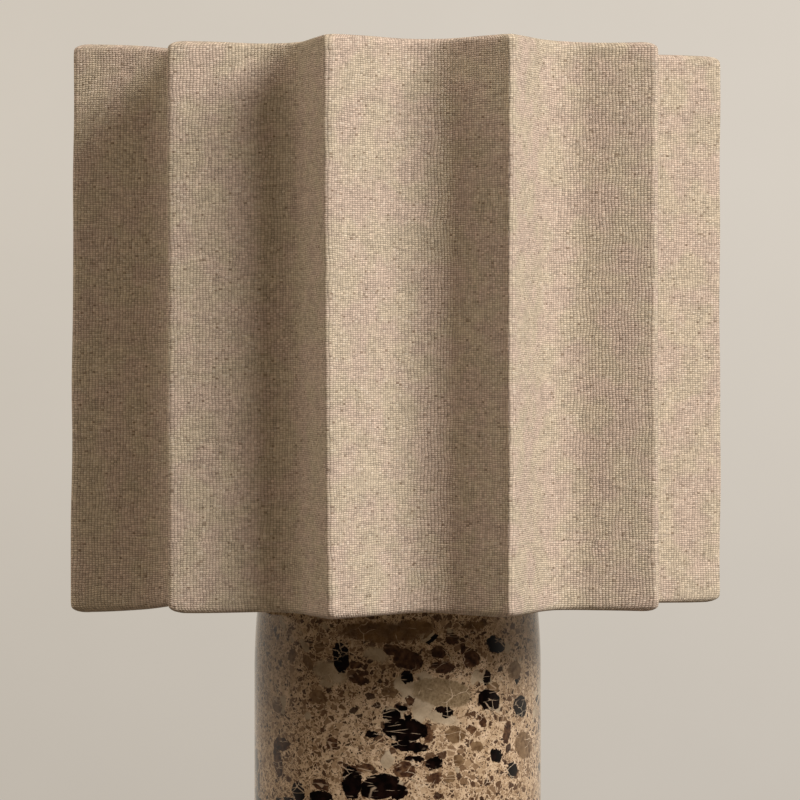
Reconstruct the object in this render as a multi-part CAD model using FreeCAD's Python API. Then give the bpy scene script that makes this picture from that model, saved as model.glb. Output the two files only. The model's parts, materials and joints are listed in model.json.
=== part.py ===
"""Column table lamp: a polished stone column under a fluted linen drum shade.

Millimetres, +Z up. The origin is the centre of the column's foot, on the table. The front of the
lamp, where it is seen from, is -Y, and the cord inlet is at the back, +Y.
"""
import FreeCAD, Part
import math
import os

V = FreeCAD.Vector
UP = V(0, 0, 1)

# ---------------------------------------------------------------- driving dimensions
# Stone column
column_radius = 65.0
column_height = 287.0
shoulder_height = 33.0        # the side leans in over this much of the top
shoulder_inset = 1.2
column_top_round = 6.0
column_foot_bevel = 1.5
tube_hole_radius = 6.5        # drilled right through the stone
recess_radius = 40.0          # wiring space cut in the foot
recess_height = 26.0
inlet_radius = 5.5            # hole for the cord bush, at the back
inlet_height = 15.0           # from the recess's floor plate up to the hole's axis

# Foot
pad_thickness = 3.0
pad_inset = 3.0
cover_radius = 54.0
cover_thickness = 2.0
cover_gap = 0.4
insert_radius = 3.5
insert_length = 12.0
insert_circle_radius = 47.0
insert_count = 3
screw_radius = 2.0
screw_length = 10.0
screw_head_radius = 3.8

# Cord bush
bush_bore_radius = 3.4
bush_head_radius = 8.0
bush_head_length = 2.5
bush_length = 21.0
bush_gap = 0.1

# Tie tube and what clamps the column
tube_radius = 5.0
tube_bore_radius = 4.0
tube_below_nut = 3.0
nut_across_flats = 17.0
nut_thickness = 6.0
thread_gap = 0.02
washer_radius = 22.0
washer_thickness = 3.0
tag_thickness = 0.8
tag_radius = 8.0
tag_reach = 13.5
tag_width = 5.0
crimp_radius = 1.8
crimp_length = 5.0
gasket_thickness = 1.0
top_plate_radius = 30.0
top_plate_thickness = 3.0
lock_washer_radius = 9.0
lock_washer_thickness = 0.8
nut_to_holder = 2.0

# Terminal block in the foot
block_depth = 16.0            # along X, the way the leads run in
block_pitch = 8.0
block_side = 5.0
block_height = 13.0
block_axis_height = 5.5
block_centre_x = -26.0
sleeve_radius = 2.0
sleeve_bore_radius = 1.3
terminal_screw_radius = 1.3
terminal_screw_spacing = 8.0
terminal_screw_depth = 0.6    # below the block's top

# Leads
lead_radius = 1.1
lead_spacing = 2.8
lead_entry = 4.0

# Lamp holder, E27
holder_neck_radius = 8.5
holder_neck_height = 9.0
holder_flare_height = 9.0
holder_cap_height = 34.0
holder_wall = 1.6
holder_radius = 19.75
skirt_wall = 3.0
skirt_height = 34.0
skirt_thread_pitch = 2.5
skirt_thread_depth = 0.5
collar_radius = 23.5
collar_thickness = 3.0
collar_top = 10.0             # above the skirt's foot
base_block_thickness = 14.0
terminal_width = 5.0
terminal_height = 6.0
terminal_spread = 10.0
contact_shell_wall = 0.5
contact_shell_height = 20.0
contact_disc_radius = 3.5
contact_disc_thickness = 1.5
grub_screw_radius = 1.5

# Ring that clamps the shade
ring_bore_gap = 0.08
ring_seat_gap = 0.05          # the ring's play above the shade's fitting
ring_flange_radius = 25.0
ring_flange_thickness = 2.0
ring_hub_radius = 22.6
ring_height = 9.0
ring_rib_count = 24
ring_rib_radius = 0.7

# Bulb, E27 and 60 mm across
bulb_radius = 30.0
bulb_length = 108.0
bulb_tip_radius = 4.5
bulb_tip_height = 1.5
bulb_seal_height = 5.0
bulb_cap_radius = 13.1
bulb_cap_gap = 0.3            # to the contact shell, all round
bulb_cap_wall = 0.4
bulb_cap_height = 18.5
bulb_cap_crest = 1.0
bulb_thread_pitch = 3.63
bulb_thread_turns = 4
bulb_body_foot_radius = 14.0
bulb_body_height = 33.0
bulb_wall = 1.5
bulb_glass_wall = 1.0
bulb_spigot = 10.0
led_plate_thickness = 2.0
led_plate_drop = 4.0
led_count = 10
led_side = 3.0
led_height = 0.8
led_circle_radius = 13.0
driver_width = 20.0
driver_height = 24.0
driver_thickness = 1.6

# Shade
shade_radius = 150.0          # to the ridges, before they are rounded
shade_height = 243.0
shade_rim_above_column = 1.0
flute_count = 12
flute_depth = 25.0            # from the line between two ridges to the valley
valley_radius = 22.0
ridge_round = 1.5
first_ridge_deg = -100.0
linen_thickness = 0.9
liner_thickness = 0.5
wire_radius = 1.5
wire_corner_radius = 3.0
wire_gap = 0.1
hem_height = 12.0
spider_bore_gap = 0.45
spider_ring_radius = 30.0
spider_ring_thickness = 1.5
arm_radius = 2.0
arm_count = 3
arm_first_valley = 6          # counted from the first ridge
arm_level_run = 20.0
arm_foot_run = 8.0
arm_bend_radius = 14.0
arm_clearance = 0.15
arm_collar_gap = 1.0

# ---------------------------------------------------------------- levels, from the foot up
cover_floor = pad_thickness
recess_floor = cover_floor + cover_thickness
recess_top = recess_floor + recess_height
column_top = pad_thickness + column_height
tag_bottom = recess_top - washer_thickness - tag_thickness
nut_bottom = tag_bottom - nut_thickness
tube_bottom = nut_bottom - tube_below_nut
top_plate_bottom = column_top + gasket_thickness
top_plate_top = top_plate_bottom + top_plate_thickness
top_nut_bottom = top_plate_top + lock_washer_thickness
holder_bottom = top_nut_bottom + nut_thickness + nut_to_holder
tube_top = holder_bottom + holder_neck_height
skirt_bottom = holder_bottom + holder_cap_height
shade_seat = skirt_bottom + collar_top
skirt_top = skirt_bottom + skirt_height
base_block_top = shade_seat
base_block_bottom = base_block_top - base_block_thickness
terminal_bottom = base_block_bottom - terminal_height
bulb_bottom = base_block_top + contact_disc_thickness
ring_bottom = shade_seat + spider_ring_thickness + ring_seat_gap
shade_bottom = column_top + shade_rim_above_column
shade_top = shade_bottom + shade_height

# ---------------------------------------------------------------- radii that follow from a fit
contact_shell_bore = bulb_cap_radius + bulb_cap_gap
contact_shell_radius = contact_shell_bore + contact_shell_wall
skirt_bore_radius = holder_radius - skirt_wall
holder_cap_radius = holder_radius - 0.5 * skirt_wall
nut_corner_radius = nut_across_flats / math.sqrt(3.0)
spider_bore_radius = holder_radius + spider_bore_gap
ring_bore_radius = holder_radius + ring_bore_gap
hem_inset = linen_thickness + liner_thickness + 2.0 * wire_radius + wire_gap + linen_thickness
wire_inset = linen_thickness + liner_thickness + wire_radius


# ---------------------------------------------------------------- helpers
def disc(radius, bottom, top, bore=0.0):
    """A round plate or tube about the lamp's axis."""
    solid = Part.makeCylinder(radius, top - bottom, V(0, 0, bottom))
    if bore:
        solid = solid.cut(Part.makeCylinder(bore, top - bottom + 2.0, V(0, 0, bottom - 1.0)))
    return solid


def turned(points):
    """A solid turned about the lamp's axis from (radius, height) points."""
    corners = [V(radius, 0, height) for radius, height in points]
    outline = Part.makePolygon(corners + corners[:1])
    return Part.Face(outline).revolve(V(0, 0, 0), UP, 360)


def turned_edges(edges):
    """A solid turned about the lamp's axis from a closed ring of edges in the XZ plane."""
    return Part.Face(Part.Wire(edges)).revolve(V(0, 0, 0), UP, 360)


def line(a, b):
    return Part.LineSegment(a, b).toShape()


def arc(a, middle, b):
    return Part.Arc(a, middle, b).toShape()


def fused(solids):
    """Several touching solids made one."""
    whole = solids[0]
    for solid in solids[1:]:
        whole = whole.fuse(solid)
    return whole.removeSplitter()


def around(solid, count, start_deg=0.0):
    """Copies of a solid, evenly spaced about the lamp's axis."""
    copies = []
    for i in range(count):
        copy = solid.copy()
        copy.rotate(V(0, 0, 0), UP, start_deg + 360.0 * i / count)
        copies.append(copy)
    return copies


def hexagon_nut(bottom, bore):
    """A hexagon nut about the axis, with a flat towards -X."""
    corners = []
    for i in range(7):
        turn = math.radians(60.0 * i + 30.0)
        corners.append(V(nut_corner_radius * math.cos(turn), nut_corner_radius * math.sin(turn), bottom))
    nut = Part.Face(Part.makePolygon(corners)).extrude(UP * nut_thickness)
    nut = nut.common(turned([
        (0.0, bottom),
        (0.5 * nut_across_flats, bottom),
        (nut_corner_radius, bottom + 0.8),
        (nut_corner_radius, bottom + nut_thickness - 0.8),
        (0.5 * nut_across_flats, bottom + nut_thickness),
        (0.0, bottom + nut_thickness),
    ]))
    return nut.cut(Part.makeCylinder(bore, nut_thickness, V(0, 0, bottom)))


def rounded_route(points, radii):
    """A path of straight runs with a tangent arc of the given radius at each inner point."""
    edges = []
    start = points[0]
    for i, radius in enumerate(radii):
        corner = points[i + 1]
        back = (points[i] - corner).normalize()
        ahead = (points[i + 2] - corner).normalize()
        half_turn = 0.5 * (math.pi - back.getAngle(ahead))
        tangent = radius * math.tan(half_turn)
        inward = (back + ahead).normalize()
        arc_start = corner + back * tangent
        arc_end = corner + ahead * tangent
        arc_middle = corner + inward * (radius / math.cos(half_turn) - radius)
        edges.append(line(start, arc_start))
        edges.append(arc(arc_start, arc_middle, arc_end))
        start = arc_end
    edges.append(line(start, points[-1]))
    return Part.Wire(edges)


def rod_along(route, radius):
    """A round rod swept along a path of tangent runs and arcs."""
    first = route.OrderedEdges[0]
    begin = first.valueAt(first.FirstParameter)
    heading = first.tangentAt(first.FirstParameter)
    section = Part.Wire([Part.makeCircle(radius, begin, heading)])
    return route.makePipeShell([section], True, False)


def save(node, solids):
    """One node's STEP file, from a solid or from a list of separate solids."""
    shape = Part.makeCompound(solids) if isinstance(solids, list) else solids
    shape.exportStep("parts/%s.step" % node)


# ---------------------------------------------------------------- the shade's fluted outline
half_pitch = math.pi / flute_count
half_chord = shade_radius * math.sin(half_pitch)
chord_radius = shade_radius * math.cos(half_pitch)
valley_reach = chord_radius - flute_depth            # from the axis to a valley
lean = math.atan2(valley_radius - flute_depth, half_chord)
wall_angle = math.asin(valley_radius / math.hypot(half_chord, valley_radius - flute_depth)) - lean
ridge_half_angle = 0.5 * math.pi - half_pitch - wall_angle


def flute_direction(index):
    """The way from the axis to a valley, in radians, counted from the first ridge."""
    return math.radians(first_ridge_deg) + half_pitch * (2 * index + 1)


def flute_edges(inset, corner_radius, height):
    """The closed run of walls, valleys and ridge corners that lies `inset` inside the outline."""
    sharp_radius = shade_radius - inset / math.sin(ridge_half_angle)
    wall_start = corner_radius / math.tan(ridge_half_angle)
    corner_reach = sharp_radius - corner_radius * (1.0 / math.sin(ridge_half_angle) - 1.0)
    curve = valley_radius + inset
    curve_x = curve * math.sin(wall_angle)
    curve_y = valley_reach + valley_radius - curve * math.cos(wall_angle)
    ridge_x = sharp_radius * math.sin(half_pitch)
    ridge_y = sharp_radius * math.cos(half_pitch)
    wall_x = ridge_x - wall_start * math.cos(wall_angle)
    wall_y = ridge_y - wall_start * math.sin(wall_angle)
    edges = []
    for i in range(flute_count):
        turn = flute_direction(i)

        def place(across, out, way=turn):
            """A point of this flute: `across` along its chord, `out` from the axis."""
            return V(out * math.cos(way) - across * math.sin(way),
                     out * math.sin(way) + across * math.cos(way), height)

        edges.append(line(place(-wall_x, wall_y), place(-curve_x, curve_y)))
        edges.append(arc(place(-curve_x, curve_y), place(0.0, valley_reach - inset), place(curve_x, curve_y)))
        edges.append(line(place(curve_x, curve_y), place(wall_x, wall_y)))
        if corner_radius > 0.0:
            ahead = turn + half_pitch
            corner = V(corner_reach * math.cos(ahead), corner_reach * math.sin(ahead), height)
            after = turn + 2.0 * half_pitch
            edges.append(arc(place(wall_x, wall_y), corner, place(-wall_x, wall_y, after)))
    return edges


def fluted_prism(inset, bottom, top, corner_radius=0.0):
    """The fluted outline, drawn in by `inset`, stood up as a solid."""
    face = Part.Face(Part.Wire(flute_edges(inset, corner_radius, bottom)))
    return face.extrude(UP * (top - bottom))


# ---------------------------------------------------------------- stone column and foot
def marble_column():
    """The stone cylinder, with its leaning shoulder, tube hole, wiring recess and cord inlet."""
    shoulder = column_top - shoulder_height
    middle_inset = 0.25 * shoulder_inset
    edges = [
        line(V(0, 0, cover_floor), V(column_radius, 0, cover_floor)),
        line(V(column_radius, 0, cover_floor), V(column_radius, 0, shoulder)),
        arc(V(column_radius, 0, shoulder),
            V(column_radius - middle_inset, 0, shoulder + 0.5 * shoulder_height),
            V(column_radius - shoulder_inset, 0, column_top)),
        line(V(column_radius - shoulder_inset, 0, column_top), V(0, 0, column_top)),
        line(V(0, 0, column_top), V(0, 0, cover_floor)),
    ]
    stone = turned_edges(edges)
    top_rim = [edge for edge in stone.Edges
               if len(edge.Vertexes) == 1 and abs(edge.BoundBox.ZMin - column_top) < 0.001]
    stone = stone.makeFillet(column_top_round, top_rim)
    foot_rim = [edge for edge in stone.Edges
                if len(edge.Vertexes) == 1 and abs(edge.BoundBox.ZMax - cover_floor) < 0.001]
    stone = stone.makeChamfer(column_foot_bevel, foot_rim)
    stone = stone.cut(disc(tube_hole_radius, cover_floor - 1.0, column_top + 1.0))
    stone = stone.cut(disc(recess_radius, cover_floor - 1.0, recess_top))
    stone = stone.cut(disc(cover_radius + cover_gap, cover_floor - 1.0, recess_floor))
    inlet = Part.makeCylinder(inlet_radius, column_radius, V(0, 0, recess_floor + inlet_height), V(0, 1, 0))
    stone = stone.cut(inlet)
    seat = Part.makeCylinder(insert_radius, insert_length, V(insert_circle_radius, 0, recess_floor))
    for hole in around(seat, insert_count, 90.0 + 180.0 / insert_count):
        stone = stone.cut(hole)
    return stone


def base_pad():
    """The felt disc that the lamp stands on."""
    return disc(column_radius - pad_inset, 0.0, pad_thickness)


def base_cover():
    """The steel plate that closes the wiring recess, with countersunk screw holes."""
    plate = disc(cover_radius, cover_floor, recess_floor)
    sink = Part.makeCone(screw_head_radius + 0.1, screw_radius + 0.2, cover_thickness,
                         V(insert_circle_radius, 0, cover_floor))
    for hole in around(sink, insert_count, 90.0 + 180.0 / insert_count):
        plate = plate.cut(hole)
    fixing = Part.makeCylinder(screw_radius + thread_gap, cover_thickness, V(block_centre_x, 0, cover_floor))
    return plate.cut(fixing)


def cover_inserts():
    """Threaded brass inserts glued in the stone for the cover's screws."""
    insert = Part.makeCylinder(insert_radius, insert_length, V(insert_circle_radius, 0, recess_floor))
    bore = Part.makeCylinder(screw_radius + thread_gap, insert_length, V(insert_circle_radius, 0, recess_floor))
    return around(insert.cut(bore), insert_count, 90.0 + 180.0 / insert_count)


def cover_screws():
    """Countersunk screws, head down in the cover."""
    head = Part.makeCone(screw_head_radius, screw_radius, cover_thickness,
                         V(insert_circle_radius, 0, cover_floor))
    shank = Part.makeCylinder(screw_radius, screw_length, V(insert_circle_radius, 0, cover_floor + 1.0))
    slot = Part.makeBox(2.2 * screw_head_radius, 1.0, 0.8)
    slot.translate(V(insert_circle_radius - 1.1 * screw_head_radius, -0.5, cover_floor - 0.1))
    return around(head.fuse(shank).removeSplitter().cut(slot), insert_count, 90.0 + 180.0 / insert_count)


def cord_bush():
    """The nylon bush that the cord would come in through, pressed in the back of the column."""
    height = recess_floor + inlet_height
    seat_y = math.sqrt(column_radius ** 2 - bush_head_radius ** 2)
    start = V(0, column_radius + bush_head_length - bush_length - 2.0, height)
    shank = Part.makeCylinder(inlet_radius - bush_gap, bush_length, start, V(0, 1, 0))
    head = Part.makeCylinder(bush_head_radius, column_radius + bush_head_length - seat_y, V(0, seat_y, height),
                             V(0, 1, 0))
    outer_rim = [edge for edge in head.Edges
                 if len(edge.Vertexes) == 1 and edge.BoundBox.YMin > column_radius + 0.5 * bush_head_length]
    head = head.makeFillet(0.6 * bush_head_length, outer_rim)
    head = head.cut(Part.makeCylinder(column_radius, 4.0 * bush_head_radius, V(0, 0, height - 2.0 * bush_head_radius)))
    bush = shank.fuse(head).removeSplitter()
    return bush.cut(Part.makeCylinder(bush_bore_radius, 2.0 * column_radius, V(0, 0, height), V(0, 1, 0)))


# ---------------------------------------------------------------- tie tube and clamping parts
def threaded_tube():
    """The hollow M10 tube that pulls the column together and carries the leads."""
    return disc(tube_radius, tube_bottom, tube_top, tube_bore_radius)


def bottom_washer():
    return disc(washer_radius, recess_top - washer_thickness, recess_top, tube_radius + 0.3)


def earth_tag():
    """A ring tag under the washer, with a crimp that holds the earth lead."""
    ring = disc(tag_radius, tag_bottom, tag_bottom + tag_thickness)
    tab = Part.makeBox(tag_reach, tag_width, tag_thickness, V(-tag_reach, -0.5 * tag_width, tag_bottom))
    crimp = Part.makeCylinder(crimp_radius, crimp_length, V(earth_x, 0, tag_bottom - crimp_length))
    tag = fused([ring, tab, crimp])
    tag = tag.cut(disc(tube_radius + 0.2, tag_bottom - 1.0, recess_top))
    return tag.cut(Part.makeCylinder(lead_radius + 0.05, crimp_length, V(earth_x, 0, tag_bottom - crimp_length)))


def top_gasket():
    """A cork disc between the stone and the top plate."""
    return disc(top_plate_radius - 1.0, column_top, top_plate_bottom, tube_radius + 0.3)


def top_plate():
    """The brass plate that clamps the stone's top, its edge bevelled."""
    plate = disc(top_plate_radius, top_plate_bottom, top_plate_top, tube_radius + 0.3)
    rim = [edge for edge in plate.Edges
           if len(edge.Vertexes) == 1 and edge.BoundBox.ZMin > top_plate_top - 0.001
           and edge.BoundBox.XLength > 2.0 * tube_radius + 5.0]
    return plate.makeChamfer(0.8, rim)


def lock_washer():
    """A split spring washer."""
    washer = disc(lock_washer_radius, top_plate_top, top_nut_bottom, tube_radius + 0.3)
    gap = Part.makeBox(lock_washer_radius + 1.0, 1.2, lock_washer_thickness + 2.0,
                       V(0, -0.6, top_plate_top - 1.0))
    return washer.cut(gap)


# ---------------------------------------------------------------- terminal block and leads
block_bottom = recess_floor
block_axis = block_bottom + block_axis_height
block_width = 2.0 * (block_pitch + block_side)
block_front = block_centre_x + 0.5 * block_depth
earth_x = -(tag_reach - crimp_radius)
lead_start_x = block_front - lead_entry


def terminal_block():
    """The moulded block: three ways along X, a screw well over each end of each way."""
    body = Part.makeBox(block_depth, block_width, block_height,
                        V(block_centre_x - 0.5 * block_depth, -0.5 * block_width, block_bottom))
    for way in (-1, 0, 1):
        bore = Part.makeCylinder(sleeve_radius, block_depth,
                                 V(block_centre_x - 0.5 * block_depth, way * block_pitch, block_axis), V(1, 0, 0))
        body = body.cut(bore)
        for end in (-0.5, 0.5):
            well = Part.makeCylinder(terminal_screw_radius + 0.4, block_height,
                                     V(block_centre_x + end * terminal_screw_spacing, way * block_pitch, block_axis))
            body = body.cut(well)
        if way < 1:
            notch = Part.makeBox(block_depth + 2.0, 1.6, 2.0,
                                 V(block_centre_x - 0.5 * block_depth - 1.0, (way + 0.5) * block_pitch - 0.8,
                                   block_bottom + block_height - 2.0))
            body = body.cut(notch)
    pilot = Part.makeCylinder(screw_radius + thread_gap, block_axis_height - sleeve_radius - 0.4,
                              V(block_centre_x, 0, block_bottom))
    return body.cut(pilot)


def terminal_sleeves():
    """Three brass sleeves, one in each way of the block."""
    sleeves = []
    for way in (-1, 0, 1):
        start = V(block_centre_x - 0.5 * block_depth + 1.0, way * block_pitch, block_axis)
        sleeve = Part.makeCylinder(sleeve_radius, block_depth - 2.0, start, V(1, 0, 0))
        sleeves.append(sleeve.cut(Part.makeCylinder(sleeve_bore_radius, block_depth, start, V(1, 0, 0))))
    return sleeves


def terminal_screws():
    """Six slotted clamping screws that bear on the sleeves."""
    screws = []
    foot = block_axis + sleeve_radius
    top = block_bottom + block_height - terminal_screw_depth
    for way in (-1, 0, 1):
        for end in (-0.5, 0.5):
            x = block_centre_x + end * terminal_screw_spacing
            screw = Part.makeCylinder(terminal_screw_radius, top - foot, V(x, way * block_pitch, foot))
            slot = Part.makeBox(3.0 * terminal_screw_radius, 0.6, 0.7,
                                V(x - 1.5 * terminal_screw_radius, way * block_pitch - 0.3, top - 0.6))
            screws.append(screw.cut(slot))
    return screws


def block_screw():
    """The screw that holds the terminal block to the base cover, its head flush below."""
    shank = Part.makeCylinder(screw_radius, cover_thickness + block_axis_height - sleeve_radius - 0.5,
                              V(block_centre_x, 0, cover_floor))
    slot = Part.makeBox(3.0 * screw_radius, 0.8, 0.8, V(block_centre_x - 1.5 * screw_radius, -0.4, cover_floor - 0.1))
    return shank.cut(slot)


def mains_lead(side):
    """A lead from the block, through the tube, to the lamp holder's terminal on one side (+1 or -1)."""
    tube_y = side * 0.5 * lead_spacing
    foot = block_axis + 0.5
    spread_y = side * terminal_spread
    points = [
        V(lead_start_x, side * block_pitch, block_axis),
        V(lead_start_x + 10.0, side * block_pitch, block_axis),
        V(0, tube_y, foot),
        V(0, tube_y, tube_top),
        V(0, spread_y, terminal_bottom - 3.0),
        V(0, spread_y, terminal_bottom + 3.0),
    ]
    return rod_along(rounded_route(points, [17.0, 6.4, 12.0, 8.4]), lead_radius)


def earth_lead():
    """The short lead from the block's middle way up to the earth tag."""
    points = [
        V(lead_start_x, 0, block_axis),
        V(earth_x, 0, block_axis),
        V(earth_x, 0, tag_bottom),
    ]
    return rod_along(rounded_route(points, [4.6]), lead_radius)


# ---------------------------------------------------------------- lamp holder
def holder_cap():
    """The bell-shaped lower shell of the lamp holder, screwed on the tube."""
    flare_bottom = holder_bottom + holder_neck_height
    flare_top = flare_bottom + holder_flare_height
    bell = turned([
        (tube_radius + thread_gap, holder_bottom),
        (holder_neck_radius, holder_bottom),
        (holder_neck_radius, flare_bottom - 1.0),
        (holder_cap_radius - 2.5, flare_top - 3.5),
        (holder_cap_radius, flare_top),
        (holder_cap_radius, skirt_bottom),
        (holder_cap_radius - holder_wall, skirt_bottom),
        (holder_cap_radius - holder_wall, flare_top + 0.6),
        (holder_cap_radius - 2.5 - holder_wall, flare_top - 2.6),
        (holder_neck_radius - 0.5, flare_bottom + 0.8),
        (tube_radius + thread_gap, flare_bottom),
    ])
    grub_height = holder_bottom + 0.5 * holder_neck_height
    hole = Part.makeCylinder(grub_screw_radius, holder_neck_radius, V(0, 0, grub_height), V(0, 1, 0))
    return bell.cut(hole)


def holder_grub_screw():
    """The set screw that stops the holder turning on the tube."""
    height = holder_bottom + 0.5 * holder_neck_height
    start = V(0, tube_radius, height)
    screw = Part.makeCylinder(grub_screw_radius, holder_neck_radius - tube_radius + 0.6, start, V(0, 1, 0))
    screw = screw.cut(Part.makeCylinder(tube_radius, 4.0 * grub_screw_radius, V(0, 0, height - 2.0 * grub_screw_radius)))
    slot = Part.makeBox(4.0 * grub_screw_radius, 0.7, 0.6,
                        V(-2.0 * grub_screw_radius, holder_neck_radius, height - 0.3))
    return screw.cut(slot)


def holder_base_block():
    """The ceramic block that carries the contacts, standing on the bell's rim."""
    body = disc(skirt_bore_radius - 0.1, skirt_bottom, base_block_top)
    stem = disc(holder_cap_radius - holder_wall - 0.3, base_block_bottom, skirt_bottom)
    return body.fuse(stem).removeSplitter()


def holder_terminals():
    """Two brass terminals under the ceramic block, each holding a lead's end."""
    terminals = []
    for side in (-1, 1):
        block = Part.makeBox(terminal_width, terminal_width, terminal_height,
                             V(-0.5 * terminal_width, side * terminal_spread - 0.5 * terminal_width, terminal_bottom))
        hole = Part.makeCylinder(lead_radius + 0.1, 4.0, V(0, side * terminal_spread, terminal_bottom))
        terminals.append(block.cut(hole))
    return terminals


def holder_skirt():
    """The outer sleeve: threaded outside for the shade ring, with the collar that the shade rests on."""
    thread_foot = shade_seat + 1.0
    turns = int((skirt_top - thread_foot - 1.5) / skirt_thread_pitch)
    points = [
        (holder_cap_radius + 0.05, skirt_bottom - 6.0),
        (holder_radius, skirt_bottom - 6.0),
        (holder_radius, shade_seat - collar_thickness),
        (collar_radius, shade_seat - collar_thickness),
        (collar_radius, shade_seat),
        (holder_radius, shade_seat),
        (holder_radius, thread_foot),
    ]
    for i in range(turns):
        start = thread_foot + i * skirt_thread_pitch
        points.append((holder_radius - skirt_thread_depth, start + 0.5 * skirt_thread_pitch))
        points.append((holder_radius, start + 0.8 * skirt_thread_pitch))
        points.append((holder_radius, start + skirt_thread_pitch))
    points += [
        (holder_radius, skirt_top - 0.6),
        (holder_radius - 0.6, skirt_top),
        (skirt_bore_radius, skirt_top),
        (skirt_bore_radius, skirt_bottom),
        (holder_cap_radius + 0.05, skirt_bottom),
    ]
    return turned(points)


def holder_contact_shell():
    """The brass sleeve that the bulb's cap screws into; its thread is drawn as a plain bore."""
    return disc(contact_shell_radius, base_block_top, base_block_top + contact_shell_height, contact_shell_bore)


def holder_centre_contact():
    """The sprung tongue that meets the bulb's tip, pressed down."""
    pad = disc(contact_disc_radius, base_block_top, bulb_bottom)
    tongue = Part.makeBox(contact_shell_bore - 2.0, 4.0, 0.5, V(0, -2.0, base_block_top))
    return pad.fuse(tongue).removeSplitter()


def shade_ring():
    """The ribbed ring that screws down on the shade's fitting."""
    flange_top = ring_bottom + ring_flange_thickness
    body = turned([
        (ring_bore_radius, ring_bottom),
        (ring_flange_radius, ring_bottom),
        (ring_flange_radius, flange_top - 0.5),
        (ring_flange_radius - 0.5, flange_top),
        (ring_hub_radius, flange_top),
        (ring_hub_radius, ring_bottom + ring_height - 0.5),
        (ring_hub_radius - 0.5, ring_bottom + ring_height),
        (ring_bore_radius, ring_bottom + ring_height),
    ])
    rib = Part.makeCylinder(ring_rib_radius, ring_height - ring_flange_thickness - 1.0,
                            V(ring_hub_radius, 0, flange_top))
    return fused([body] + around(rib, ring_rib_count))


# ---------------------------------------------------------------- bulb
seal_top = bulb_bottom + bulb_tip_height + bulb_seal_height
cap_top = seal_top + bulb_cap_height
body_top = cap_top + bulb_body_height
globe_centre = bulb_bottom + bulb_length - bulb_radius
globe_mouth = math.sqrt(bulb_radius ** 2 - (globe_centre - body_top) ** 2)
led_plate_top = body_top - led_plate_drop + led_plate_thickness
led_plate_bottom = led_plate_top - led_plate_thickness


def body_radius(height):
    """The outer radius of the bulb's tapered body at a height."""
    share = (height - cap_top) / bulb_body_height
    return bulb_body_foot_radius + (globe_mouth - bulb_body_foot_radius) * share


def bulb_tip():
    """The soldered contact at the very bottom of the bulb."""
    return turned([
        (0.0, bulb_bottom),
        (bulb_tip_radius - 1.2, bulb_bottom),
        (bulb_tip_radius, bulb_bottom + bulb_tip_height),
        (0.0, bulb_bottom + bulb_tip_height),
    ])


def bulb_seal():
    """The black glass insulator between the tip and the screw cap."""
    foot = bulb_bottom + bulb_tip_height
    return turned([
        (0.0, foot),
        (bulb_tip_radius + 0.6, foot),
        (bulb_cap_radius - bulb_cap_crest - 0.6, seal_top - 0.8),
        (bulb_cap_radius - bulb_cap_crest - 0.6, seal_top),
        (0.0, seal_top),
    ])


def bulb_cap():
    """The screw cap, its thread drawn as rings."""
    root = bulb_cap_radius - bulb_cap_crest
    thread_foot = seal_top + 0.5
    outside = [(root - 0.8, seal_top), (root, thread_foot)]
    for i in range(bulb_thread_turns):
        start = thread_foot + i * bulb_thread_pitch
        outside.append((root, start + 0.15 * bulb_thread_pitch))
        outside.append((bulb_cap_radius, start + 0.45 * bulb_thread_pitch))
        outside.append((bulb_cap_radius, start + 0.60 * bulb_thread_pitch))
        outside.append((root, start + 0.90 * bulb_thread_pitch))
    outside.append((root, cap_top))
    inside = [(radius - bulb_cap_wall, height) for radius, height in outside]
    return turned(outside + inside[::-1])


def bulb_body():
    """The white tapered housing, its foot tucked in the screw cap."""
    spigot = bulb_cap_radius - bulb_cap_crest - bulb_cap_wall - 0.05
    return turned([
        (spigot, cap_top - bulb_spigot),
        (spigot, cap_top),
        (bulb_body_foot_radius, cap_top),
        (body_radius(body_top), body_top),
        (body_radius(body_top) - bulb_wall, body_top),
        (bulb_body_foot_radius - bulb_wall, cap_top + bulb_wall),
        (spigot - bulb_wall, cap_top),
        (spigot - bulb_wall, cap_top - bulb_spigot),
    ])


def bulb_globe():
    """The opal dome, a thin shell that stands on the body."""
    def dome_arc(radius, mouth_height):
        mouth = math.sqrt(radius ** 2 - (globe_centre - mouth_height) ** 2)
        start = V(mouth, 0, mouth_height)
        end = V(0, 0, globe_centre + radius)
        return start, end, arc(start, V(radius, 0, globe_centre), end)

    outer_start, outer_end, outer = dome_arc(bulb_radius, body_top)
    inner_start, inner_end, inner = dome_arc(bulb_radius - bulb_glass_wall, body_top)
    return turned_edges([outer, line(outer_end, inner_end), inner, line(inner_start, outer_start)])


def bulb_led_plate():
    return disc(body_radius(led_plate_bottom) - bulb_wall - 0.1, led_plate_bottom, led_plate_top)


def bulb_leds():
    chip = Part.makeBox(led_side, led_side, led_height,
                        V(led_circle_radius - 0.5 * led_side, -0.5 * led_side, led_plate_top))
    return around(chip, led_count)


def bulb_driver():
    """The driver's circuit board with its capacitor and coil."""
    foot = led_plate_bottom - driver_height
    board = Part.makeBox(driver_width, driver_thickness, driver_height,
                         V(-0.5 * driver_width, -0.5 * driver_thickness, foot))
    capacitor = Part.makeCylinder(4.0, 12.0, V(-3.0, 0.5 * driver_thickness + 4.0, foot + 8.0))
    coil = Part.makeBox(8.0, 6.0, 7.0, V(0.0, -0.5 * driver_thickness - 6.0, foot + 12.0))
    return fused([board, capacitor.cut(board), coil])


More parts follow.
